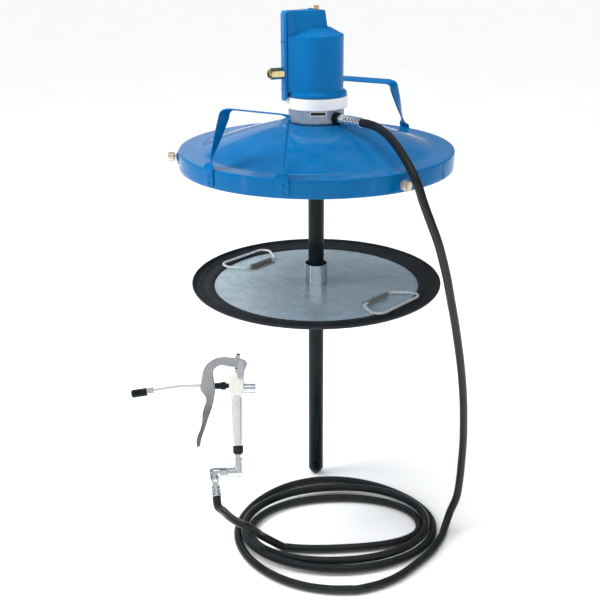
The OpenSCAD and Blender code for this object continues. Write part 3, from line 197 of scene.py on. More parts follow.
# ---------------------------------------------------------------- materials
class Graph:
    """A material's node tree, built a node at a time."""

    def __init__(self, name):
        self.m = bpy.data.materials.new(name)
        self.m.use_nodes = True
        self.t = self.m.node_tree
        self.t.nodes.clear()
        self.bsdf = self.node("ShaderNodeBsdfPrincipled")
        out = self.node("ShaderNodeOutputMaterial")
        self.t.links.new(self.bsdf.outputs[0], out.inputs[0])
        self.at = self.node("ShaderNodeTexCoord").outputs["Object"]

    def node(self, kind, links=(), **values):
        n = self.t.nodes.new(kind)
        for k, v in values.items():
            setattr(n, k, v)
        for k, v in dict(links).items():
            if isinstance(v, bpy.types.NodeSocket):
                self.t.links.new(v, n.inputs[k])
            else:
                n.inputs[k].default_value = v
        return n

    def stretched(self, scale, turn=(0, 0, 0)):
        return self.node("ShaderNodeMapping", {"Vector": self.at, "Scale": scale, "Rotation": turn}).outputs[0]

    def noise(self, size, detail=3, rough=0.55, vector=None, lo=0.3, hi=0.7):
        """Noise of about that grain size in mm, spread to 0..1."""
        n = self.node("ShaderNodeTexNoise", {"Vector": vector or self.at, "Scale": 1000 / size, "Detail": detail,
                                            "Roughness": rough})
        return self.ramp(n.outputs["Fac"], lo, hi)

    def ramp(self, value, lo, hi, a=0.0, b=1.0):
        """Spreads lo..hi over a..b, held at both ends."""
        r = self.node("ShaderNodeMapRange", {"Value": value, "From Min": lo, "From Max": hi, "To Min": a, "To Max": b})
        return r.outputs[0]

    def math(self, operation, a, b=0.0):
        return self.node("ShaderNodeMath", {0: a, 1: b}, operation=operation).outputs[0]

    def mix(self, share, a, b):
        n = self.node("ShaderNodeMix", data_type="RGBA", blend_type="MIX")
        for k, v in ((0, share), (6, a), (7, b)):
            if isinstance(v, bpy.types.NodeSocket):
                self.t.links.new(v, n.inputs[k])
            else:
                n.inputs[k].default_value = (*v, 1) if isinstance(v, tuple) else v
        return n.outputs[2]

    def edges(self, radius, lo=0.02, hi=0.2):
        """0 on open faces and 1 on outer corners, from how far a rounded normal leans off the true one."""
        bevel = self.node("ShaderNodeBevel", {"Radius": radius * MM}, samples=4)
        true = self.node("ShaderNodeNewGeometry").outputs["Normal"]
        dot = self.node("ShaderNodeVectorMath", {0: bevel.outputs[0], 1: true}, operation="DOT_PRODUCT")
        return self.ramp(self.math("SUBTRACT", 1.0, dot.outputs["Value"]), lo, hi)

    def axis(self, name):
        """A point's own X, Y or Z on its piece, in metres."""
        return self.node("ShaderNodeSeparateXYZ", {0: self.at}).outputs[name]

    def bump(self, height, depth, after=None):
        links = {"Height": height, "Distance": depth * MM, "Strength": 1.0}
        if after is not None:
            links["Normal"] = after
        return self.node("ShaderNodeBump", links).outputs[0]

    def upward(self):
        z = self.node("ShaderNodeSeparateXYZ", {0: self.node("ShaderNodeNewGeometry").outputs["Normal"]}).outputs["Z"]
        return self.ramp(z, 0.3, 1.0)

    def set(self, **sockets):
        for k, v in sockets.items():
            k = k.replace("_", " ").title().replace("Ior", "IOR")
            if isinstance(v, bpy.types.NodeSocket):
                self.t.links.new(v, self.bsdf.inputs[k])
            else:
                self.bsdf.inputs[k].default_value = (*v, 1) if isinstance(v, tuple) else v
        return self.m


def enamel(name, colour, deep, rough=0.22, coat=0.7, gloss=0.3):
    """Sprayed gloss enamel: faint mottle, orange peel, dust on top faces, and rubbed edges."""
    g = Graph(name)
    base = g.mix(g.noise(60, 2), colour, deep)
    dust = g.math("MULTIPLY", g.math("MULTIPLY", g.upward(), g.noise(35, 5)), 0.025)
    base = g.mix(dust, base, (0.55, 0.58, 0.6))
    worn = g.math("MULTIPLY", g.edges(0.7, 0.03, 0.25), g.noise(7, 4, lo=0.42, hi=0.62))
    base = g.mix(g.math("MULTIPLY", worn, 0.35), base, (0.42, 0.62, 0.8))
    peel = g.noise(4.5, 2, 0.45)
    grain = g.noise(0.5, 2)
    normal = g.bump(peel, 0.012)
    return g.set(base_color=base, roughness=g.ramp(g.noise(18, 4), 0, 1, rough - 0.05, rough + 0.07),
                 normal=g.bump(grain, 0.0015, normal), coat_weight=coat, coat_roughness=0.06, specular_ior_level=gloss)


def casting(name, colour, deep, metallic=0.85, rough=0.45, grain=0.8, depth=0.05, spots=(0.25, 0.26, 0.28),
            slot_shade=False):
    """Bare die casting: a grainy skin, cloudy tone, dark pores and rubbed edges. The slot flag paints the exhaust
    slot's shade as near-black colour.
    """
    g = Graph(name)
    base = g.mix(g.noise(14, 4), colour, deep)
    # Painted shade: inside the exhaust slot the colour goes near black and less metallic, standing in for the shadow
    # in the cavity.
    if slot_shade:
        x, y, z = (g.axis(k) for k in "XYZ")
        reach = g.math("SQRT", g.math("ADD", g.math("POWER", x, 2.0), g.math("POWER", y, 2.0)))
        inside = g.math("MULTIPLY", g.ramp(reach, 0.0600, 0.0585), g.ramp(y, -0.034, -0.036))
        level = g.math("ABSOLUTE", g.math("SUBTRACT", z, 0.08175))
        dark = g.math("MULTIPLY", inside, g.ramp(level, 0.0052, 0.0042))
        base = g.mix(dark, base, (0.004, 0.004, 0.005))
        metallic = g.math("MULTIPLY", metallic, g.math("SUBTRACT", 1.0, dark))
    pores = g.noise(1.1, 2, 0.6, lo=0.6, hi=0.7)
    base = g.mix(g.math("MULTIPLY", pores, 0.35), base, spots)
    base = g.mix(g.math("MULTIPLY", g.edges(0.5), 0.5), base, (0.9, 0.91, 0.92))
    skin = g.noise(grain, 3, 0.6)
    wave = g.noise(9, 2)
    rub = g.ramp(g.noise(5, 5), 0, 1, rough - 0.08, rough + 0.14)
    return g.set(base_color=base, metallic=metallic, roughness=rub, normal=g.bump(skin, depth, g.bump(wave, 0.08)),
                 specular_ior_level=0.5)


def plated(name, colour, deep, rough=0.2, brush=(1, 1, 1), depth=0.004, metallic=1.0, darker_low_end_and_edge_shade=None):
    """Plated or turned metal: fine lines, a cloudy tint and small scuffs. The low-end option makes the piece darker in
    patches towards its low end and paints shade along its edges.
    """
    g = Graph(name)
    lines = g.noise(0.35, 2, 0.5, g.stretched(brush))
    base = g.mix(g.noise(11, 3), colour, deep)
    if darker_low_end_and_edge_shade:
        # Darker towards the low end, in noisy patches.
        low = g.ramp(g.axis("Z"), *darker_low_end_and_edge_shade)
        low_end_dark = g.math("MULTIPLY", low, g.noise(16, 4, 0.6, lo=0.1, hi=0.5))
        base = g.mix(low_end_dark, base, tuple(0.35 * c for c in colour))
        # Painted shade: the edges are darkened to stand in for the shade along them.
        base = g.mix(g.math("MULTIPLY", g.edges(1.6), 0.6), base, tuple(0.2 * c for c in colour))
    base = g.mix(g.math("MULTIPLY", lines, 0.12), base, tuple(0.55 * c for c in colour))
    scuff = g.noise(2.2, 6, 0.7, lo=0.6, hi=0.75)
    rub = g.math("ADD", g.ramp(g.noise(6, 4), 0, 1, rough - 0.05, rough + 0.08), g.math("MULTIPLY", scuff, 0.05))
    return g.set(base_color=base, metallic=metallic, roughness=rub, coat_weight=0.0,
                 normal=g.bump(g.noise(0.5, 3), depth, g.bump(lines, depth)), specular_ior_level=0.5)


def galvanized(name):
    """Zinc-dipped sheet: crystals of differing tone, rolling haze and rubbed patches."""
    g = Graph(name)
    cells = g.node("ShaderNodeTexVoronoi", {"Vector": g.at, "Scale": 1000 / 7, "Randomness": 1.0}, feature="F1")
    tone = g.node("ShaderNodeSeparateColor", {0: cells.outputs["Color"]}).outputs[0]
    small = g.node("ShaderNodeTexVoronoi", {"Vector": g.at, "Scale": 1000 / 2.6}, feature="F1")
    fine = g.node("ShaderNodeSeparateColor", {0: small.outputs["Color"]}).outputs[1]
    spangle = g.math("ADD", g.math("MULTIPLY", tone, 0.55), g.math("MULTIPLY", fine, 0.45))
    base = g.mix(spangle, (0.46, 0.6, 0.66), (0.62, 0.76, 0.82))
    base = g.mix(g.math("MULTIPLY", g.noise(70, 5, 0.6), 0.5), base, (0.62, 0.72, 0.78))
    stain = g.noise(16, 7, 0.7, g.stretched((1, 2.4, 1)), 0.57, 0.72)
    base = g.mix(g.math("MULTIPLY", stain, 0.5), base, (0.34, 0.4, 0.43))
    rubbed = g.noise(48, 6, 0.7, g.stretched((1, 1.8, 1), (0, 0, 0.4)), 0.46, 0.6)
    base = g.mix(g.math("MULTIPLY", rubbed, 0.45), base, (0.38, 0.52, 0.6))
    scuff = g.noise(3, 6, 0.75, g.stretched((1, 3, 1), (0, 0, 0.3)), 0.6, 0.75)
    rough = g.math("ADD", g.ramp(g.noise(25, 4), 0, 1, 0.2, 0.32), g.math("MULTIPLY", scuff, 0.14))
    normal = g.bump(g.noise(40, 3), 0.35)
    return g.set(base_color=base, metallic=0.6, roughness=rough, normal=g.bump(spangle, 0.003, normal),
                 specular_ior_level=0.5)


def rubber(name, colour, grey, rough=0.5, grain=0.7, depth=0.03, dust=0.12, coat=0.0, scuffs=0.5):
    """Moulded rubber: matt grain, a bloom of grey, and pale scuffs."""
    g = Graph(name)
    base = g.mix(g.noise(22, 5), colour, grey)
    bloom = g.math("MULTIPLY", g.math("MULTIPLY", g.upward(), g.noise(30, 6, 0.65)), dust)
    base = g.mix(bloom, base, (0.08, 0.085, 0.09))
    scuff = g.noise(5, 7, 0.75, lo=0.6, hi=0.74)
    base = g.mix(g.math("MULTIPLY", scuff, 0.25 * scuffs), base, (0.12, 0.125, 0.13))
    rub = g.math("ADD", g.ramp(g.noise(9, 4), 0, 1, rough - 0.07, rough + 0.1), g.math("MULTIPLY", scuff, 0.12))
    return g.set(base_color=base, roughness=rub, normal=g.bump(g.noise(grain, 3), depth), coat_weight=coat,
                 coat_roughness=0.25, specular_ior_level=0.28)


def white_plate(name):
    """Plain white finish: a faint cloud, fine texture and a little grime at its edges."""
    g = Graph(name)
    base = g.mix(g.noise(30, 3), (0.86, 0.86, 0.87), (0.8, 0.8, 0.815))
    grime = g.math("MULTIPLY", g.edges(1.0), g.noise(6, 5))
    base = g.mix(g.math("MULTIPLY", grime, 0.3), base, (0.45, 0.46, 0.48))
    return g.set(base_color=base, roughness=g.ramp(g.noise(12, 4), 0, 1, 0.28, 0.42),
                 normal=g.bump(g.noise(1.5, 2), 0.006), coat_weight=0.2, coat_roughness=0.2, specular_ior_level=0.5)


MATERIALS = {
    "blue_paint": enamel("blue_enamel", (0.0, 0.116, 0.315), (0.0, 0.104, 0.285), 0.1, 0.14, 0.06),
    "motor_paint": enamel("motor_enamel", (0.0, 0.14, 0.38), (0.0, 0.128, 0.345), 0.22, 0.06, 0.08),
    "zinc_casting": casting("bare_zinc_casting", (0.56, 0.6, 0.64), (0.42, 0.47, 0.52)),
    "base_casting": casting("base_casting", (0.42, 0.5, 0.58), (0.3, 0.38, 0.46), 0.8, 0.4, 0.9, 0.09, slot_shade=True),
    "zinc_steel": plated("zinc_plated_steel", (0.9, 0.93, 0.94), (0.76, 0.81, 0.84), 0.2, metallic=0.92, depth=0.0018),
    "zinc_warm": plated("yellow_zinc_steel", (0.6, 0.56, 0.5), (0.48, 0.45, 0.4), 0.3, metallic=0.9),
    "bail_zinc": plated("bail_zinc", (0.95, 0.95, 0.93), (0.84, 0.85, 0.85), 0.26, metallic=0.5),
    "galvanized": galvanized("galvanized_sheet"),
    "chrome": plated("bright_chrome", (0.88, 0.89, 0.9), (0.82, 0.83, 0.85), 0.09, (1, 1, 0.05), depth=0.0015),
    "polished": plated("polished_aluminium", (0.96, 0.96, 0.94), (0.9, 0.9, 0.88), 0.2, (1, 1, 0.03), depth=0.003,
                       metallic=0.8),
    "lever_steel": plated("lever_plating", (0.68, 0.69, 0.7), (0.6, 0.61, 0.62), 0.3, metallic=0.95, depth=0.0012,
                          darker_low_end_and_edge_shade=(-0.44, -0.5)),
    "cast_head": casting("cream_casting", (0.78, 0.77, 0.72), (0.7, 0.69, 0.64), 0.25, 0.42, 1.0, 0.04,
                         (0.5, 0.49, 0.46)),
    "brass": plated("brass", (0.74, 0.57, 0.32), (0.56, 0.42, 0.22), 0.2),
    "brass_pale": plated("tinned_brass", (0.82, 0.74, 0.58), (0.7, 0.62, 0.47), 0.3, metallic=0.85),
    "black_steel": enamel("black_oxide", (0.002, 0.006, 0.008), (0.004, 0.009, 0.011), 0.28, 0.04, 0.14),
    "white_band": white_plate("plain_white"),
    "black_rubber": rubber("moulded_rubber", (0.006, 0.008, 0.01), (0.012, 0.014, 0.016), 0.52),
    "hose_rubber": rubber("hose_cover", (0.0055, 0.007, 0.008), (0.009, 0.011, 0.012), 0.33, 0.4, 0.012, 0.1, 0.16,
                          0.25),
}
hose.data.materials.append(MATERIALS["hose_rubber"])


# ---------------------------------------------------------------- mesh helpers
def soften(me, angle=32):
    """Smooth shading with crisp edges where two faces meet at more than that angle."""
    bm = bmesh.new()
    bm.from_mesh(me)
    for f in bm.faces:
        f.smooth = True
    for e in bm.edges:
        e.smooth = len(e.link_faces) == 2 and e.calc_face_angle(0) < math.radians(angle)
    bm.to_mesh(me)
    bm.free()


def add(name, me, body, material, replaces=(), angle=32):
    soften(me, angle)
    o = bpy.data.objects.new(name, me)
    scene.collection.objects.link(o)
    me.materials.clear()
    me.materials.append(MATERIALS[material])
    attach(o, body)
    if replaces:
        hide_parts(*replaces)
    return o


def build(name, verts, faces, matrix=None):
    """A mesh from points in mm, merged, with its faces turned outward."""
    me = bpy.data.meshes.new(name)
    m = Matrix.Diagonal((MM, MM, MM, 1)) @ (matrix or Matrix.Identity(4))
    me.from_pydata([m @ Vector(v) for v in verts], [], faces)
    bm = bmesh.new()
    bm.from_mesh(me)
    bmesh.ops.remove_doubles(bm, verts=bm.verts, dist=1e-6)
    bmesh.ops.recalc_face_normals(bm, faces=bm.faces)
    bm.to_mesh(me)
    bm.free()
    return me


def lathe(name, outline, matrix=None, segments=96, stop=360.0, start=0.0):
    """Turns a closed outline of (r, z) about Z, all the way round or over part of a turn."""
    whole = stop - start >= 360
    rows = segments if whole else segments + 1
    verts, faces = [], []
    n = len(outline)
    for i in range(rows):
        a = math.radians(start + (stop - start) * i / segments)
        verts += [(r * math.cos(a), r * math.sin(a), z) for r, z in outline]
    for i in range(segments):
        j = (i + 1) % rows
        for k in range(n):
            q = (k + 1) % n
            if outline[k][0] or outline[q][0]:
                faces.append((i * n + k, j * n + k, j * n + q, i * n + q))
    if not whole:
        faces += [tuple(range(n)), tuple(reversed(range((rows - 1) * n, rows * n)))]
    return build(name, verts, faces, matrix)


def sweep(name, rings, closed=False, matrix=None):
    """Joins equal rings of points, capped unless the run closes on itself."""
    n = len(rings[0])
    verts = [p for r in rings for p in r]
    faces = []
    for i in range(len(rings) if closed else len(rings) - 1):
        j = (i + 1) % len(rings)
        for k in range(n):
            q = (k + 1) % n
            faces.append((i * n + k, j * n + k, j * n + q, i * n + q))
    if not closed:
        faces += [tuple(range(n)), tuple(reversed(range((len(rings) - 1) * n, len(rings) * n)))]
    return build(name, verts, faces, matrix)


def joined(name, parts):
    """One mesh from several."""
    bm = bmesh.new()
    for me in parts:
        bm.from_mesh(me)
    out = bpy.data.meshes.new(name)
    bm.to_mesh(out)
    bm.free()
    return out


def node_copy(node):
    """The CAD node's own faces, merged back into whole flats."""
    bm = bmesh.new()
    bm.from_mesh(frame["nodes"][node].data)
    bmesh.ops.remove_doubles(bm, verts=bm.verts, dist=2e-6)
    bmesh.ops.dissolve_limit(bm, angle_limit=math.radians(0.6), verts=bm.verts, edges=bm.edges)
    me = bpy.data.meshes.new(node)
    bm.to_mesh(me)
    bm.free()
    return me


def applied(o):
    """Bakes an object's modifiers into its mesh."""
    deps = bpy.context.evaluated_depsgraph_get()
    me = bpy.data.meshes.new_from_object(o.evaluated_get(deps))
    o.modifiers.clear()
    o.data = me
    return o


def refine(node, material, width, segments=2):
    """A crisp machined or pressed piece: the node's own shape with its corners rounded over."""
    angle = 32
    o = add(node + "_piece", node_copy(node), body_of[node], material, [node], angle)
    bevel = o.modifiers.new("corners", "BEVEL")
    bevel.width = width * MM
    bevel.segments = segments
    bevel.limit_method = "ANGLE"
    bevel.angle_limit = math.radians(angle)
    bevel.use_clamp_overlap = True
    bevel.harden_normals = False
    bevel.miter_outer = "MITER_SHARP"
    applied(o)
    soften(o.data, 40)
    even = o.modifiers.new("even", "WEIGHTED_NORMAL")
    even.keep_sharp = True
    return applied(o)


def cast(node, material, voxel, rounds, shape=None, more=()):
    """A casting: the node's shape with every corner and crease softened, as a die leaves it."""
    me = joined(node, [node_copy(node), *more])
    o = add(node + "_casting", me, body_of[node], material, [node])
    remesh = o.modifiers.new("skin", "REMESH")
    remesh.mode = "VOXEL"
    remesh.voxel_size = voxel * MM
    smooth = o.modifiers.new("soften", "SMOOTH")
    smooth.iterations = rounds
    smooth.factor = 0.5
    applied(o)
    if shape:
        for v in o.data.vertices:
            v.co = shape(v.co / MM) * MM
    for f in o.data.polygons:
        f.use_smooth = True
    return o


def circle(r, sides):
    return [(r * cosd(360 * i / sides), r * sind(360 * i / sides)) for i in range(sides)]


def screw_thread(name, root, crest, pitch, length, matrix, inward=False, steps=20):
    """A helical ridge on a shank, or in a bore when inward, that runs out at both ends."""
    turns = length / pitch
    n = int(turns * steps)
    rings = []
    for i in range(n + 1):
        a = 2 * math.pi * i / steps
        fade = min(1, i / (0.6 * steps), (n - i) / (0.6 * steps))
        tip = root + (crest - root) * (0.08 + 0.92 * fade)
        z = length * i / n
        foot = root + (0.25 if inward else -0.25)
        w = 0.46 * pitch
        ring = [(foot, z - w), (root, z - 0.8 * w), (tip, z - 0.14 * w), (tip, z + 0.14 * w), (root, z + 0.8 * w),
                (foot, z + w)]
        rings.append([(r * math.cos(a), r * math.sin(a), zz) for r, zz in ring])
    return sweep(name, rings, matrix=matrix)


def arc(cx, cz, r, a0, a1, n):
    """Points on an arc, from the angle a0 to a1 in n steps."""
    return [(cx + r * cosd(a0 + (a1 - a0) * i / n), cz + r * sind(a0 + (a1 - a0) * i / n)) for i in range(n + 1)]


def offset(outline, d):
    """The open outline moved sideways by d."""
    out = []
    n = len(outline)
    for i, (x, z) in enumerate(outline):
        a, b = outline[max(i - 1, 0)], outline[min(i + 1, n - 1)]
        dx, dz = b[0] - a[0], b[1] - a[1]
        step = math.hypot(dx, dz)
        out.append((x - d * dz / step, z + d * dx / step))
    return out


# ---------------------------------------------------------------- drum cover: one pressing with its skirt
def crown(t):
    """The dome from its rim (t = 0) to the pump's seat (t = 1), bulging a little."""
    rim_r, seat_r, rim_z, seat_z, bulge = 248, 83, 4.5, 53, 12
    return (rim_r + (seat_r - rim_r) * t, rim_z + (seat_z - rim_z) * t + bulge * t * (1 - t))


SHEET, EDGE_R, SKIRT_LOW = 1.5, 4, -36.2
EDGE_X = COVER_R - EDGE_R
outer = [(COVER_R, z) for z in (SKIRT_LOW, -30, -12, -2.5)] + arc(EDGE_X, -2.5, EDGE_R, 10, 90, 8)
swell = [(EDGE_X, 1.5), (284, 1.5), (270, 1.55), (262, 1.75), (255, 2.7)] + [crown(i / 12) for i in range(12)]
swell += [(86.5, 51.7), (83.4, 53.0), (81.3, 54.9), (79.6, 56.3), (77, 57.0), (71, 57.0)]
outer += [tuple(p) for p in catmull([Vector(p) for p in swell], 3)[1:]] + [(50, 57), (24.3, 57)]
inner = offset(outer, SHEET)
inner[0] = (COVER_R - SHEET, SKIRT_LOW)
hem = arc(COVER_R - SHEET / 2, SKIRT_LOW + 0.2, SHEET / 2, 180, 360, 6)
cover = lathe("cover_pressing", hem[1:-1] + outer[1:] + inner[:0:-1], segments=288)
add("cover_pressing", cover, "pump", "blue_paint", ["drum_cover", "cover_skirt"], 50)

seam_half = math.degrees(SEAM_W / 2 / COVER_R)
lap = lathe("skirt_lap", [(303.1, -35.4), (304.2, -35.4), (304.5, -35.1), (304.5, -4.8), (304.2, -4.5), (303.1, -4.5)],
            segments=8, start=SEAM_AZ - seam_half, stop=SEAM_AZ + seam_half)
weld = [(0, 0.75), (1.6, 0.8), (2.3, 1.3), (3.0, 1.25), (3.4, 0.6), (0, 0.4)]
welds = [lathe("weld", weld, facing(SEAM_AZ, COVER_R, z), 20) for z in (-12, -28)]
add("skirt_lap", joined("skirt_lap", [lap] + welds), "pump", "blue_paint")


# ---------------------------------------------------------------- strap handles
def bend(a, b, c, t):
    """A rounded corner at b, between a and c."""
    return (1 - t) ** 2 * a + 2 * t * (1 - t) * b + t * t * c


def strap(name, turn, node):
    """One handle from the foot of one pad, up, twisted and over, to the foot of the other."""
    az, lean_in = HANDLE_AZ, 13
    half_w, half_t, corner_r, top_bend, foot_bend = 14, 1.5, 1.2, 14, 5
    chord = Vector((-sind(az), cosd(az), 0))
    inward = Vector((-cosd(az), -sind(az), 0))
    grip = inward * cosd(lean_in) - Vector((0, 0, sind(lean_in)))

    def leg_run(sign, turns):
        """From the pad's foot to the grip. turns gives the compass angle of the strap's width up the leg."""
        a = az - sign * HANDLE_SPAN / 2
        foot_r, foot_low, foot_round = COVER_R + half_t, -33.5, 7.5
        foot = Vector((foot_r * cosd(a), foot_r * sind(a), 4))
        corner = foot + sign * 13 * chord + 52 * inward + Vector((0, 0, 110))
        leg = (corner - foot).normalized()
        stop, start = corner - top_bend * leg, corner + sign * top_bend * chord
        flat = Vector((cosd(turns[0][1]), sind(turns[0][1]), 0))
        out = []
        for d in (0, 0.5, 1.5, 3, 5, 7.5, 14, 22, 30):
            short = foot_round - math.sqrt(max(0, foot_round ** 2 - max(0, foot_round - d) ** 2))
            out.append((Vector((foot[0], foot[1], foot_low + d)), flat, half_w - short))
        low, high = foot + Vector((0, 0, -3.5)), foot + foot_bend * leg
        for i in range(1, 6):
            t = i / 5
            out.append((bend(low, foot, high, t), flat, half_w))
        for i in range(1, 41):
            t = i / 40
            k = max(j for j in range(len(turns) - 1) if turns[j][0] <= t)
            (t0, a0), (t1, a1) = turns[k], turns[k + 1]
            w = a0 + (a1 - a0) * min(1, (t - t0) / (t1 - t0))
            out.append((high.lerp(stop, t), Vector((cosd(w), sind(w), 0)), half_w))
        last = out[-1][1]
        for i in range(1, 9):
            t = i / 8
            out.append((bend(stop, corner, start, t), last.lerp(grip, t).normalized(), half_w))
        return out

    up_leg = leg_run(1, [(0, 135.15), (0.05, 112), (0.12, 90), (0.3, 78), (0.6, 62), (1, 47)])
    down_leg = leg_run(-1, [(0, 167.65), (0.05, 125), (0.12, 90), (0.2, 87.5), (1, 86)])
    near, far = up_leg[-1][0], down_leg[-1][0]
    run = up_leg + [(near.lerp(far, i / 8), grip, half_w) for i in range(1, 8)] + down_leg[::-1]
    rings, section = [], []
    for cx, cy, a0 in ((1, 1, 0), (-1, 1, 90), (-1, -1, 180), (1, -1, 270)):
        for k in range(4):
            section.append((cx, cy, a0 + 30 * k))
    for i, (p, w, h) in enumerate(run):
        t = (run[min(i + 1, len(run) - 1)][0] - run[max(i - 1, 0)][0]).normalized()
        w = (w - (w @ t) * t).normalized()
        u = t.cross(w)
        r = corner_r
        rings.append([p + w * (cx * (h - r) + r * cosd(b)) + u * (cy * (half_t - r) + r * sind(b))
                      for cx, cy, b in section])
    me = sweep(name, rings, matrix=Matrix.Rotation(math.radians(turn), 4, "Z"))
    return add(name, me, "pump", "blue_paint", [node], 50)


strap("front_strap", 0, "front_handle")
strap("rear_strap", 180, "rear_handle")

head = [(0, 2.5), (4.2, 2.5), (4.3, 3.2), (3.9, 3.9), (2.9, 4.5), (1.5, 4.8), (0, 4.9)]
tail = [(0, -3.1), (3.6, -3.1), (4.1, -2.6), (4.1, -1.6), (2.5, -1.6), (2.5, 2.6), (0, 2.6)]
rivets = []
for s in (0, 180):
    for a in (HANDLE_AZ - HANDLE_SPAN / 2, HANDLE_AZ + HANDLE_SPAN / 2):
        for z in (-12, -26):
            rivets += [lathe("rivet", half, facing(a + s, COVER_R, z), 24) for half in (head, tail)]
add("rivet_set", joined("rivet_set", rivets), "pump", "blue_paint", ["handle_rivets"])

# ---------------------------------------------------------------- follower
wiper = [(235.5, -327), (254, -327.0), (262, -325.2), (270, -322.5), (276, -320.5), (282, -318.2), (284.5, -317.4),
         (287.4, -315.4), (288.9, -312.8), (289.0, -310.2), (288.0, -308.6), (286.4, -308.5), (285.2, -309.8),
         (283.4, -313.0), (281, -315.6), (278, -317.0), (275.2, -317.7), (273.2, -317.1), (271.4, -317.2),
         (269.6, -318.4), (266.8, -319.6), (264.8, -319.2), (263.2, -319.4), (260.4, -319.9), (257.4, -319.4),
         (255.6, -317.6), (253.4, -316.7), (250.5, -316.6), (246, -316.7), (242, -316.9), (239.6, -317.6),
         (238.2, -318.8), (237.6, SHEET_TOP), (251.5, SHEET_TOP), (251.5, SHEET_LOW), (235.5, SHEET_LOW)]
add("wiper_moulding", lathe("wiper_moulding", wiper, segments=240), "follower", "black_rubber",
    ["follower_wiper"], 60)


def plate_mesh():
    """The follower's sheet, with the slight waves that rolling and use leave in it."""
    verts, faces = [], []
    radii = [25.0, 27, 31, 38, 48, 60, 75, 92, 110, 128, 146, 164, 182, 199, 214, 227, 236, 243, 251.4]
    segs = 144
    for side, z0 in ((1, SHEET_TOP), (0, SHEET_LOW)):
        for r in radii:
            for i in range(segs):
                a = 2 * math.pi * i / segs
                x, y = r * math.cos(a), r * math.sin(a)
                calm = min(1, (r - 27) / 30, (240 - r) / 20) if 27 < r < 240 else 0
                wave = 0.11 * math.sin(x / 31 + 1.3) * math.sin(y / 24 + 0.4) + 0.07 * math.sin((x + y) / 15)
                verts.append((x, y, z0 + (wave - 0.2) * calm * side))
    m = len(radii)
    for s in (0, 1):
        for k in range(m - 1):
            for i in range(segs):
                j = (i + 1) % segs
                o = s * m * segs
                faces.append((o + k * segs + i, o + (k + 1) * segs + i, o + (k + 1) * segs + j, o + k * segs + j))
    for k in (0, m - 1):
        for i in range(segs):
            j = (i + 1) % segs
            faces.append((k * segs + i, k * segs + j, (m + k) * segs + j, (m + k) * segs + i))
    return build("follower_sheet", verts, faces)


add("follower_sheet", plate_mesh(), "follower", "galvanized", ["follower_plate"], 40)


def bail_piece(name, az, node):
    """A lifting bail: one bent rod, from the middle of its hinge bar round and back."""
    reach, length, inner_l, r_in, r_out, wire_r = 65, 152, 110, 10, 20, 3
    hinge_r, hinge_z, rest_tilt = 180, -315.7, -2
    a, b = Vector((r_in, inner_l / 2 - r_in)), Vector((reach - r_out, length / 2 - r_out))
    d = b - a
    lean = math.degrees(math.atan2(d[1], d[0])) + math.degrees(math.acos((r_in - r_out) / d.length))
    half = [(0.0, 0.0), (0.0, 12.0), (0.0, 24.0), (0.0, inner_l / 2 - 2 * r_in)] + arc(a[0], a[1], r_in, 180, lean, 9)
    half += arc(b[0], b[1], r_out, lean, 0, 16) + [(float(reach), 27.0), (float(reach), 0.0)]
    loop = [Vector((x, y, 0)) for x, y in half] + [Vector((x, -y, 0)) for x, y in reversed(half[1:-1])]
    rings = []
    s = Vector((0, 0, 1))
    for i, p in enumerate(loop):
        t = (loop[(i + 1) % len(loop)] - loop[i - 1]).normalized()
        u = t.cross(s)
        rings.append([p + x * u + y * s for x, y in circle(wire_r, 14)])
    m = Matrix.Rotation(math.radians(az), 4, "Z") @ Matrix.Translation((hinge_r, 0, hinge_z))
    m = m @ Matrix.Rotation(math.radians(rest_tilt), 4, "Y")
    return add(name, sweep(name, rings, True, m), body_of[node], "bail_zinc", [node], 60)


bail_piece("left_bail_rod", 139.5, "left_bail")
bail_piece("right_bail_rod", -40.5, "right_bail")
refine("left_clip", "zinc_warm", 0.3)
refine("right_clip", "zinc_warm", 0.3)
refine("guide_sleeve", "chrome", 0.5, 3)
refine("sleeve_seal", "black_rubber", 0.5)

# ---------------------------------------------------------------- motor and base
# The web fills the corners between the round housing and the valve tower, up to where its sides leave the housing.
tangent, barrel_r, web_r = 44.3, 58.4, 54
flank = [(r * cosd(tangent), r * sind(tangent)) for r in (barrel_r, web_r)]
web = [(70, -12), (70, 12)] + flank + [(web_r * cosd(b), web_r * sind(b)) for b in range(36, -37, -12)]
web += [(x, -y) for x, y in reversed(flank)]
web_me = sweep("web", [[(x, y, z) for x, y in web] for z in (124, 239)],
               matrix=Matrix.Rotation(math.radians(INLET_AZ), 4, "Z"))
cast("motor_housing", "motor_paint", 1.15, 5, more=[web_me])
refine("manifold_cover", "motor_paint", 0.8, 3)
refine("manifold_gasket", "black_rubber", 0.2)
refine("manifold_screws", "motor_paint", 0.25)
refine("air_inlet", "brass", 0.35, 2)
refine("top_plug", "brass", 0.35, 2)
refine("exhaust_band", "white_band", 0.35, 2)
refine("exhaust_lip", "white_band", 0.3, 2)
cast("pump_base", "base_casting", 0.95, 3)
refine("outlet_adapter", "black_steel", 0.5, 3)
refine("cover_locknut", "zinc_steel", 0.6)
refine("screw_bosses", "blue_paint", 0.5, 3)
for tie in ("tie_screw_front", "tie_screw_left", "tie_screw_rear"):
    refine(tie, "brass_pale", 0.3, 2)
refine("pump_tube", "black_steel", 0.4)
refine("foot_valve", "black_steel", 0.8, 3)

inlet_axis = facing(INLET_AZ, INLET_R, INLET_Z) @ Matrix.Translation((0, 0, 16.2))
add("inlet_thread", screw_thread("inlet_thread", 7.3, 6.3, 1.35, 15, inlet_axis, True), "pump", "brass")

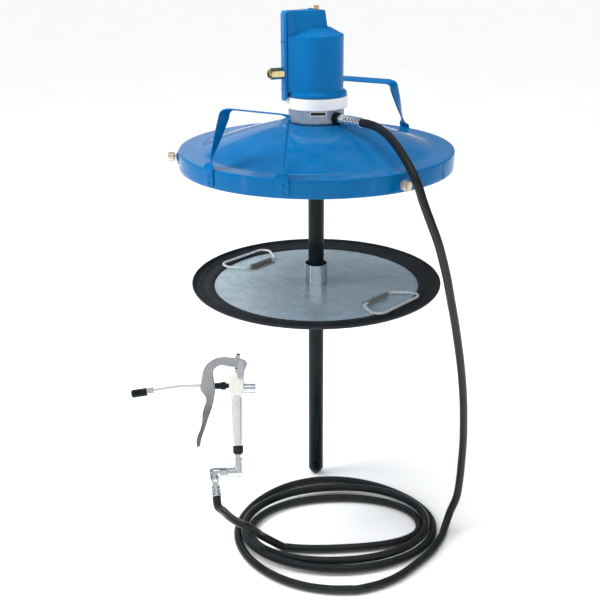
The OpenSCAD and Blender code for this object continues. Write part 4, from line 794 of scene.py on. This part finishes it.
# ---------------------------------------------------------------- hose ends
def crimp(name, matrix, length, ribs):
    """A crimped sleeve over a ferrule: a collar, ribs pressed in by the dies, and a rolled lip on the hose."""
    out = [(10.0, 0), (10.55, 0.5), (10.62, 2.2), (10.62, 3.2)]
    pitch = (length - 9) / ribs
    for i in range(ribs):
        z = 4.2 + i * pitch
        out += [(10.58, z), (10.56, z + 0.18 * pitch), (10.1, z + 0.34 * pitch), (9.98, z + 0.5 * pitch),
                (10.1, z + 0.66 * pitch), (10.56, z + 0.82 * pitch)]
    out += [(10.6, length - 4.4), (10.72, length - 2.6), (10.72, length - 1.2), (10.3, length - 0.2), (9.4, length)]
    out += [(8.9, length), (8.9, 0)]
    return lathe(name, out, matrix, 56)


def flats(name, af, length, matrix, bevel=1.2):
    """A hexagon nut or bar with turned corners and lightly rounded flats."""
    rings = []
    rim = af / math.sqrt(3)
    turned = bevel * 0.6
    for z, cap in ((0, af / 2 - 0.2), (0, af / 2), (turned, af / 2 + bevel), (length - turned, af / 2 + bevel),
                   (length, af / 2), (length, af / 2 - 0.2)):
        ring = []
        for i in range(72):
            a = 5 * i
            d = (a % 60) - 30
            r = min(af / 2 / cosd(d), cap, rim - 0.25)
            ring.append((r * cosd(a), r * sind(a), z))
        rings.append(ring)
    return sweep(name, rings, matrix=matrix)


pump_end = facing(OUTLET_AZ, 72, OUTLET_Z)
sleeve = crimp("crimp", pump_end @ Matrix.Translation((0, 0, 18)), 44, 4)
nut = flats("nut", 19, 15, pump_end)
waist = lathe("waist", [(0, 14), (7.4, 14), (7.6, 15.4), (7.6, 18.4), (0, 18.4)], pump_end, 40)
add("pump_hose_fitting", joined("pump_hose_fitting", [nut, waist, sleeve]), "pump", "zinc_steel",
    ["pump_hose_end"])

leg_frame = upright(HOSE_END, -LEG)
short = crimp("crimp", leg_frame @ Matrix.Translation((0, 0, -0.2)), 20.4, 2)
collar = lathe("waist", [(0, 19), (7.5, 19), (7.5, 21.9), (0, 21.9)], leg_frame, 40)
leg_nut = flats("nut", 19, 12.4, leg_frame @ Matrix.Translation((0, 0, 21.4)))
valve_end = add("valve_hose_fitting", joined("valve_hose_fitting", [short, collar, leg_nut]), "pump", "zinc_steel",
                ["valve_hose_end"])

# ---------------------------------------------------------------- control valve
cast("hose_elbow", "zinc_steel", 0.5, 1)
cast("valve_elbow", "zinc_steel", 0.5, 1)
refine("swivel_stub", "zinc_steel", 0.3)
refine("swivel_nut", "zinc_steel", 0.3)
refine("elbow_nut", "zinc_steel", 0.3)
refine("handle_ring", "black_rubber", 0.5, 3)
grip_low_r, grip_top_r, grip_bore, ring_pitch, ring_cut = 12.3, 14.0, 5.2, 2.6, 0.3
grip = [(grip_bore, 0.0), (11.6, 0.0), (12.2, 0.6)]
for k in range(38):
    for z, cut in ((2.0, 0), (3.3, 0), (3.6, ring_cut), (4.2, ring_cut)):
        z += ring_pitch * k
        grip.append((grip_low_r + (grip_top_r - grip_low_r) * z / GRIP_H - cut, z))
grip += [(grip_top_r, GRIP_H - 0.8), (13.4, GRIP_H), (grip_bore, GRIP_H)]
grip_me = lathe("valve_grip", grip, ON_VALVE @ Matrix.Translation((0, 0, GRIP_LOW)), 64)
add("valve_grip", grip_me, body_of["valve_handle"], "polished", ["valve_handle"], 20)
refine("head_cap", "zinc_steel", 0.5, 3)
refine("valve_pin", "zinc_steel", 0.25)
refine("link_plates", "zinc_steel", 0.35, 2)
refine("link_pins", "zinc_steel", 0.3, 2)
refine("trigger_lever", "lever_steel", 0.7, 3)
refine("set_screw", "black_steel", 0.2)
refine("outlet_nut", "black_steel", 0.4, 2)
refine("outlet_tube", "polished", 0.3)
refine("coupler_collar", "zinc_steel", 0.4, 2)
refine("coupler_body", "black_steel", 0.4, 2)

to_valve = ON_VALVE.inverted()


def dimples(p):
    """Two small pits in the head's faces, where the cores were plugged."""
    pit_r, pit_depth, pit_z, face_y = 2.6, 1.1, 20.5, 9
    q = to_valve @ p
    for x in (-3.6, 5.2):
        d = math.hypot(q[0] - x, q[2] - HEAD_LOW - pit_z)
        if d < pit_r and abs(q[1]) > face_y:
            q[1] -= math.copysign(pit_depth * (1 - (d / pit_r) ** 2), q[1])
    return ON_VALVE @ q


cast("valve_head", "cast_head", 0.6, 4, shape=dimples)

screw_at = ON_VALVE @ Matrix.Translation((-0.6, 0, HEAD_LOW + 54.8)) @ Matrix.Rotation(math.radians(9), 4, "Y")
thread_at, nut_at = (screw_at @ Matrix.Translation((0, 0, z)) for z in (3.2, 24.35))
add("set_screw_thread", screw_thread("set_screw_thread", 3.0, 3.22, 1.0, 20.5, thread_at), "lever", "black_steel")
add("lock_nut", flats("lock_nut", 12.3, 6.9, nut_at, 0.9), "lever", "zinc_steel")

# ---------------------------------------------------------------- inner pieces keep their CAD shape
INNER = {"rod_packing": "black_rubber", "valve_spool": "zinc_steel", "air_piston": "zinc_casting",
         "piston_seal": "black_rubber", "pump_rod": "chrome", "pump_plunger": "zinc_steel"}
for node, o in frame["nodes"].items():
    if node in INNER or not o.hide_render:
        o.data.materials.clear()
        o.data.materials.append(MATERIALS[INNER.get(node, slot_of[node])])

# ---------------------------------------------------------------- floor, world and lights
g = Graph("studio_floor")
g.set(base_color=g.mix(g.noise(400, 2), (0.9, 0.9, 0.9), (0.88, 0.88, 0.885)),
      roughness=g.ramp(g.noise(3, 3), 0, 1, 0.8, 0.9), normal=g.bump(g.noise(1.2, 2), 0.02), specular_ior_level=0.0)
FLOOR_M, FLOOR_GAP_M = 40, 0.0004
floor_me = bpy.data.meshes.new("floor")
rim = [(x, y, FOOT_Z * MM - FLOOR_GAP_M) for x, y in circle(FLOOR_M, 64)]
floor_me.from_pydata(rim, [], [tuple(range(len(rim)))])
floor = bpy.data.objects.new("floor", floor_me)
floor_me.materials.append(g.m)
scene.collection.objects.link(floor)

# The camera sees plain white. Everything else sees a studio that darkens upward, to the back and to the sides.
world = bpy.data.worlds.new("studio")
scene.world = world
world.use_nodes = True
wt = world.node_tree
wt.nodes.clear()
coords = wt.nodes.new("ShaderNodeTexCoord")
split = wt.nodes.new("ShaderNodeSeparateXYZ")
ramp = wt.nodes.new("ShaderNodeValToRGB")
back = wt.nodes.new("ShaderNodeBackground")
out = wt.nodes.new("ShaderNodeOutputWorld")
wt.links.new(coords.outputs["Generated"], split.inputs[0])
wt.links.new(split.outputs["Z"], ramp.inputs[0])
wt.links.new(ramp.outputs[0], back.inputs[0])
stops = ramp.color_ramp.elements
stops[0].position, stops[0].color = 0.02, (0.95, 0.95, 0.95, 1)
stops[1].position, stops[1].color = 0.4, (0.42, 0.43, 0.45, 1)
side = wt.nodes.new("ShaderNodeMath")
side.operation = "ABSOLUTE"
wt.links.new(split.outputs["X"], side.inputs[0])
strength = wt.nodes.new("ShaderNodeMath")
strength.operation = "MULTIPLY"
for i, (source, low, high, dark) in enumerate(((split.outputs["Y"], -0.8, 0.4, 0.42),
                                               (side.outputs[0], 0.5, 0.82, 0.22))):
    fall = wt.nodes.new("ShaderNodeMapRange")
    for k, v in (("From Min", low), ("From Max", high), ("To Min", 1.0), ("To Max", dark)):
        fall.inputs[k].default_value = v
    wt.links.new(source, fall.inputs["Value"])
    wt.links.new(fall.outputs[0], strength.inputs[i])
wt.links.new(strength.outputs[0], back.inputs[1])
plain = wt.nodes.new("ShaderNodeBackground")
plain.inputs[0].default_value = (1, 1, 1, 1)
plain.inputs[1].default_value = 1.0
rays = wt.nodes.new("ShaderNodeLightPath")
seen = wt.nodes.new("ShaderNodeMixShader")
wt.links.new(rays.outputs["Is Camera Ray"], seen.inputs[0])
wt.links.new(back.outputs[0], seen.inputs[1])
wt.links.new(plain.outputs[0], seen.inputs[2])
wt.links.new(seen.outputs[0], out.inputs[0])


def softbox(name, at, aim, size, power, mirrored=False):
    """A rectangle of light in metres, pointed at aim. A glossy piece mirrors it only when mirrored."""
    light = bpy.data.lights.new(name, "AREA")
    light.shape = "RECTANGLE"
    light.size, light.size_y = size
    light.energy = power
    o = bpy.data.objects.new(name, light)
    o.location = at
    o.rotation_euler = (Vector(aim) - Vector(at)).to_track_quat("-Z", "Y").to_euler()
    o.visible_glossy = mirrored
    scene.collection.objects.link(o)


softbox("left_box", (-2.6, -0.4, 1.5), (0, 0, -0.2), (1.4, 2.2), 80)
softbox("right_box", (2.6, 0.0, 1.1), (0, 0, -0.2), (1.2, 2.2), 34)
sky = bpy.data.lights.new("overhead", "SUN")
sky.energy = 2.8
sky.angle = math.radians(50)
overhead = bpy.data.objects.new("overhead", sky)
overhead.rotation_euler = (math.radians(-14), math.radians(-16), 0)
overhead.visible_glossy = False
scene.collection.objects.link(overhead)
softbox("front_fill", (-0.9, -3.6, 1.2), (0, 0, -0.3), (1.2, 1.0), 34)
softbox("window", (-1.5, 1.7, 1.6), (0, 0, 0), (0.5, 0.9), 5, mirrored=True)
softbox("back_card", (-0.8, 2.2, 0.56), (0, 0, -0.2), (1.0, 0.5), 0.8, mirrored=True)
softbox("top_box", (0.1, -0.8, 2.4), (0, 0, 0), (1.6, 0.8), 8, mirrored=True)
softbox("left_strip", (-2.3, -1.5, 0.1), (0, 0, -0.3), (0.22, 2.2), 3.2, mirrored=True)
softbox("right_strip", (1.9, -2.0, 0.1), (0, 0, -0.3), (0.14, 2.2), 1.6, mirrored=True)
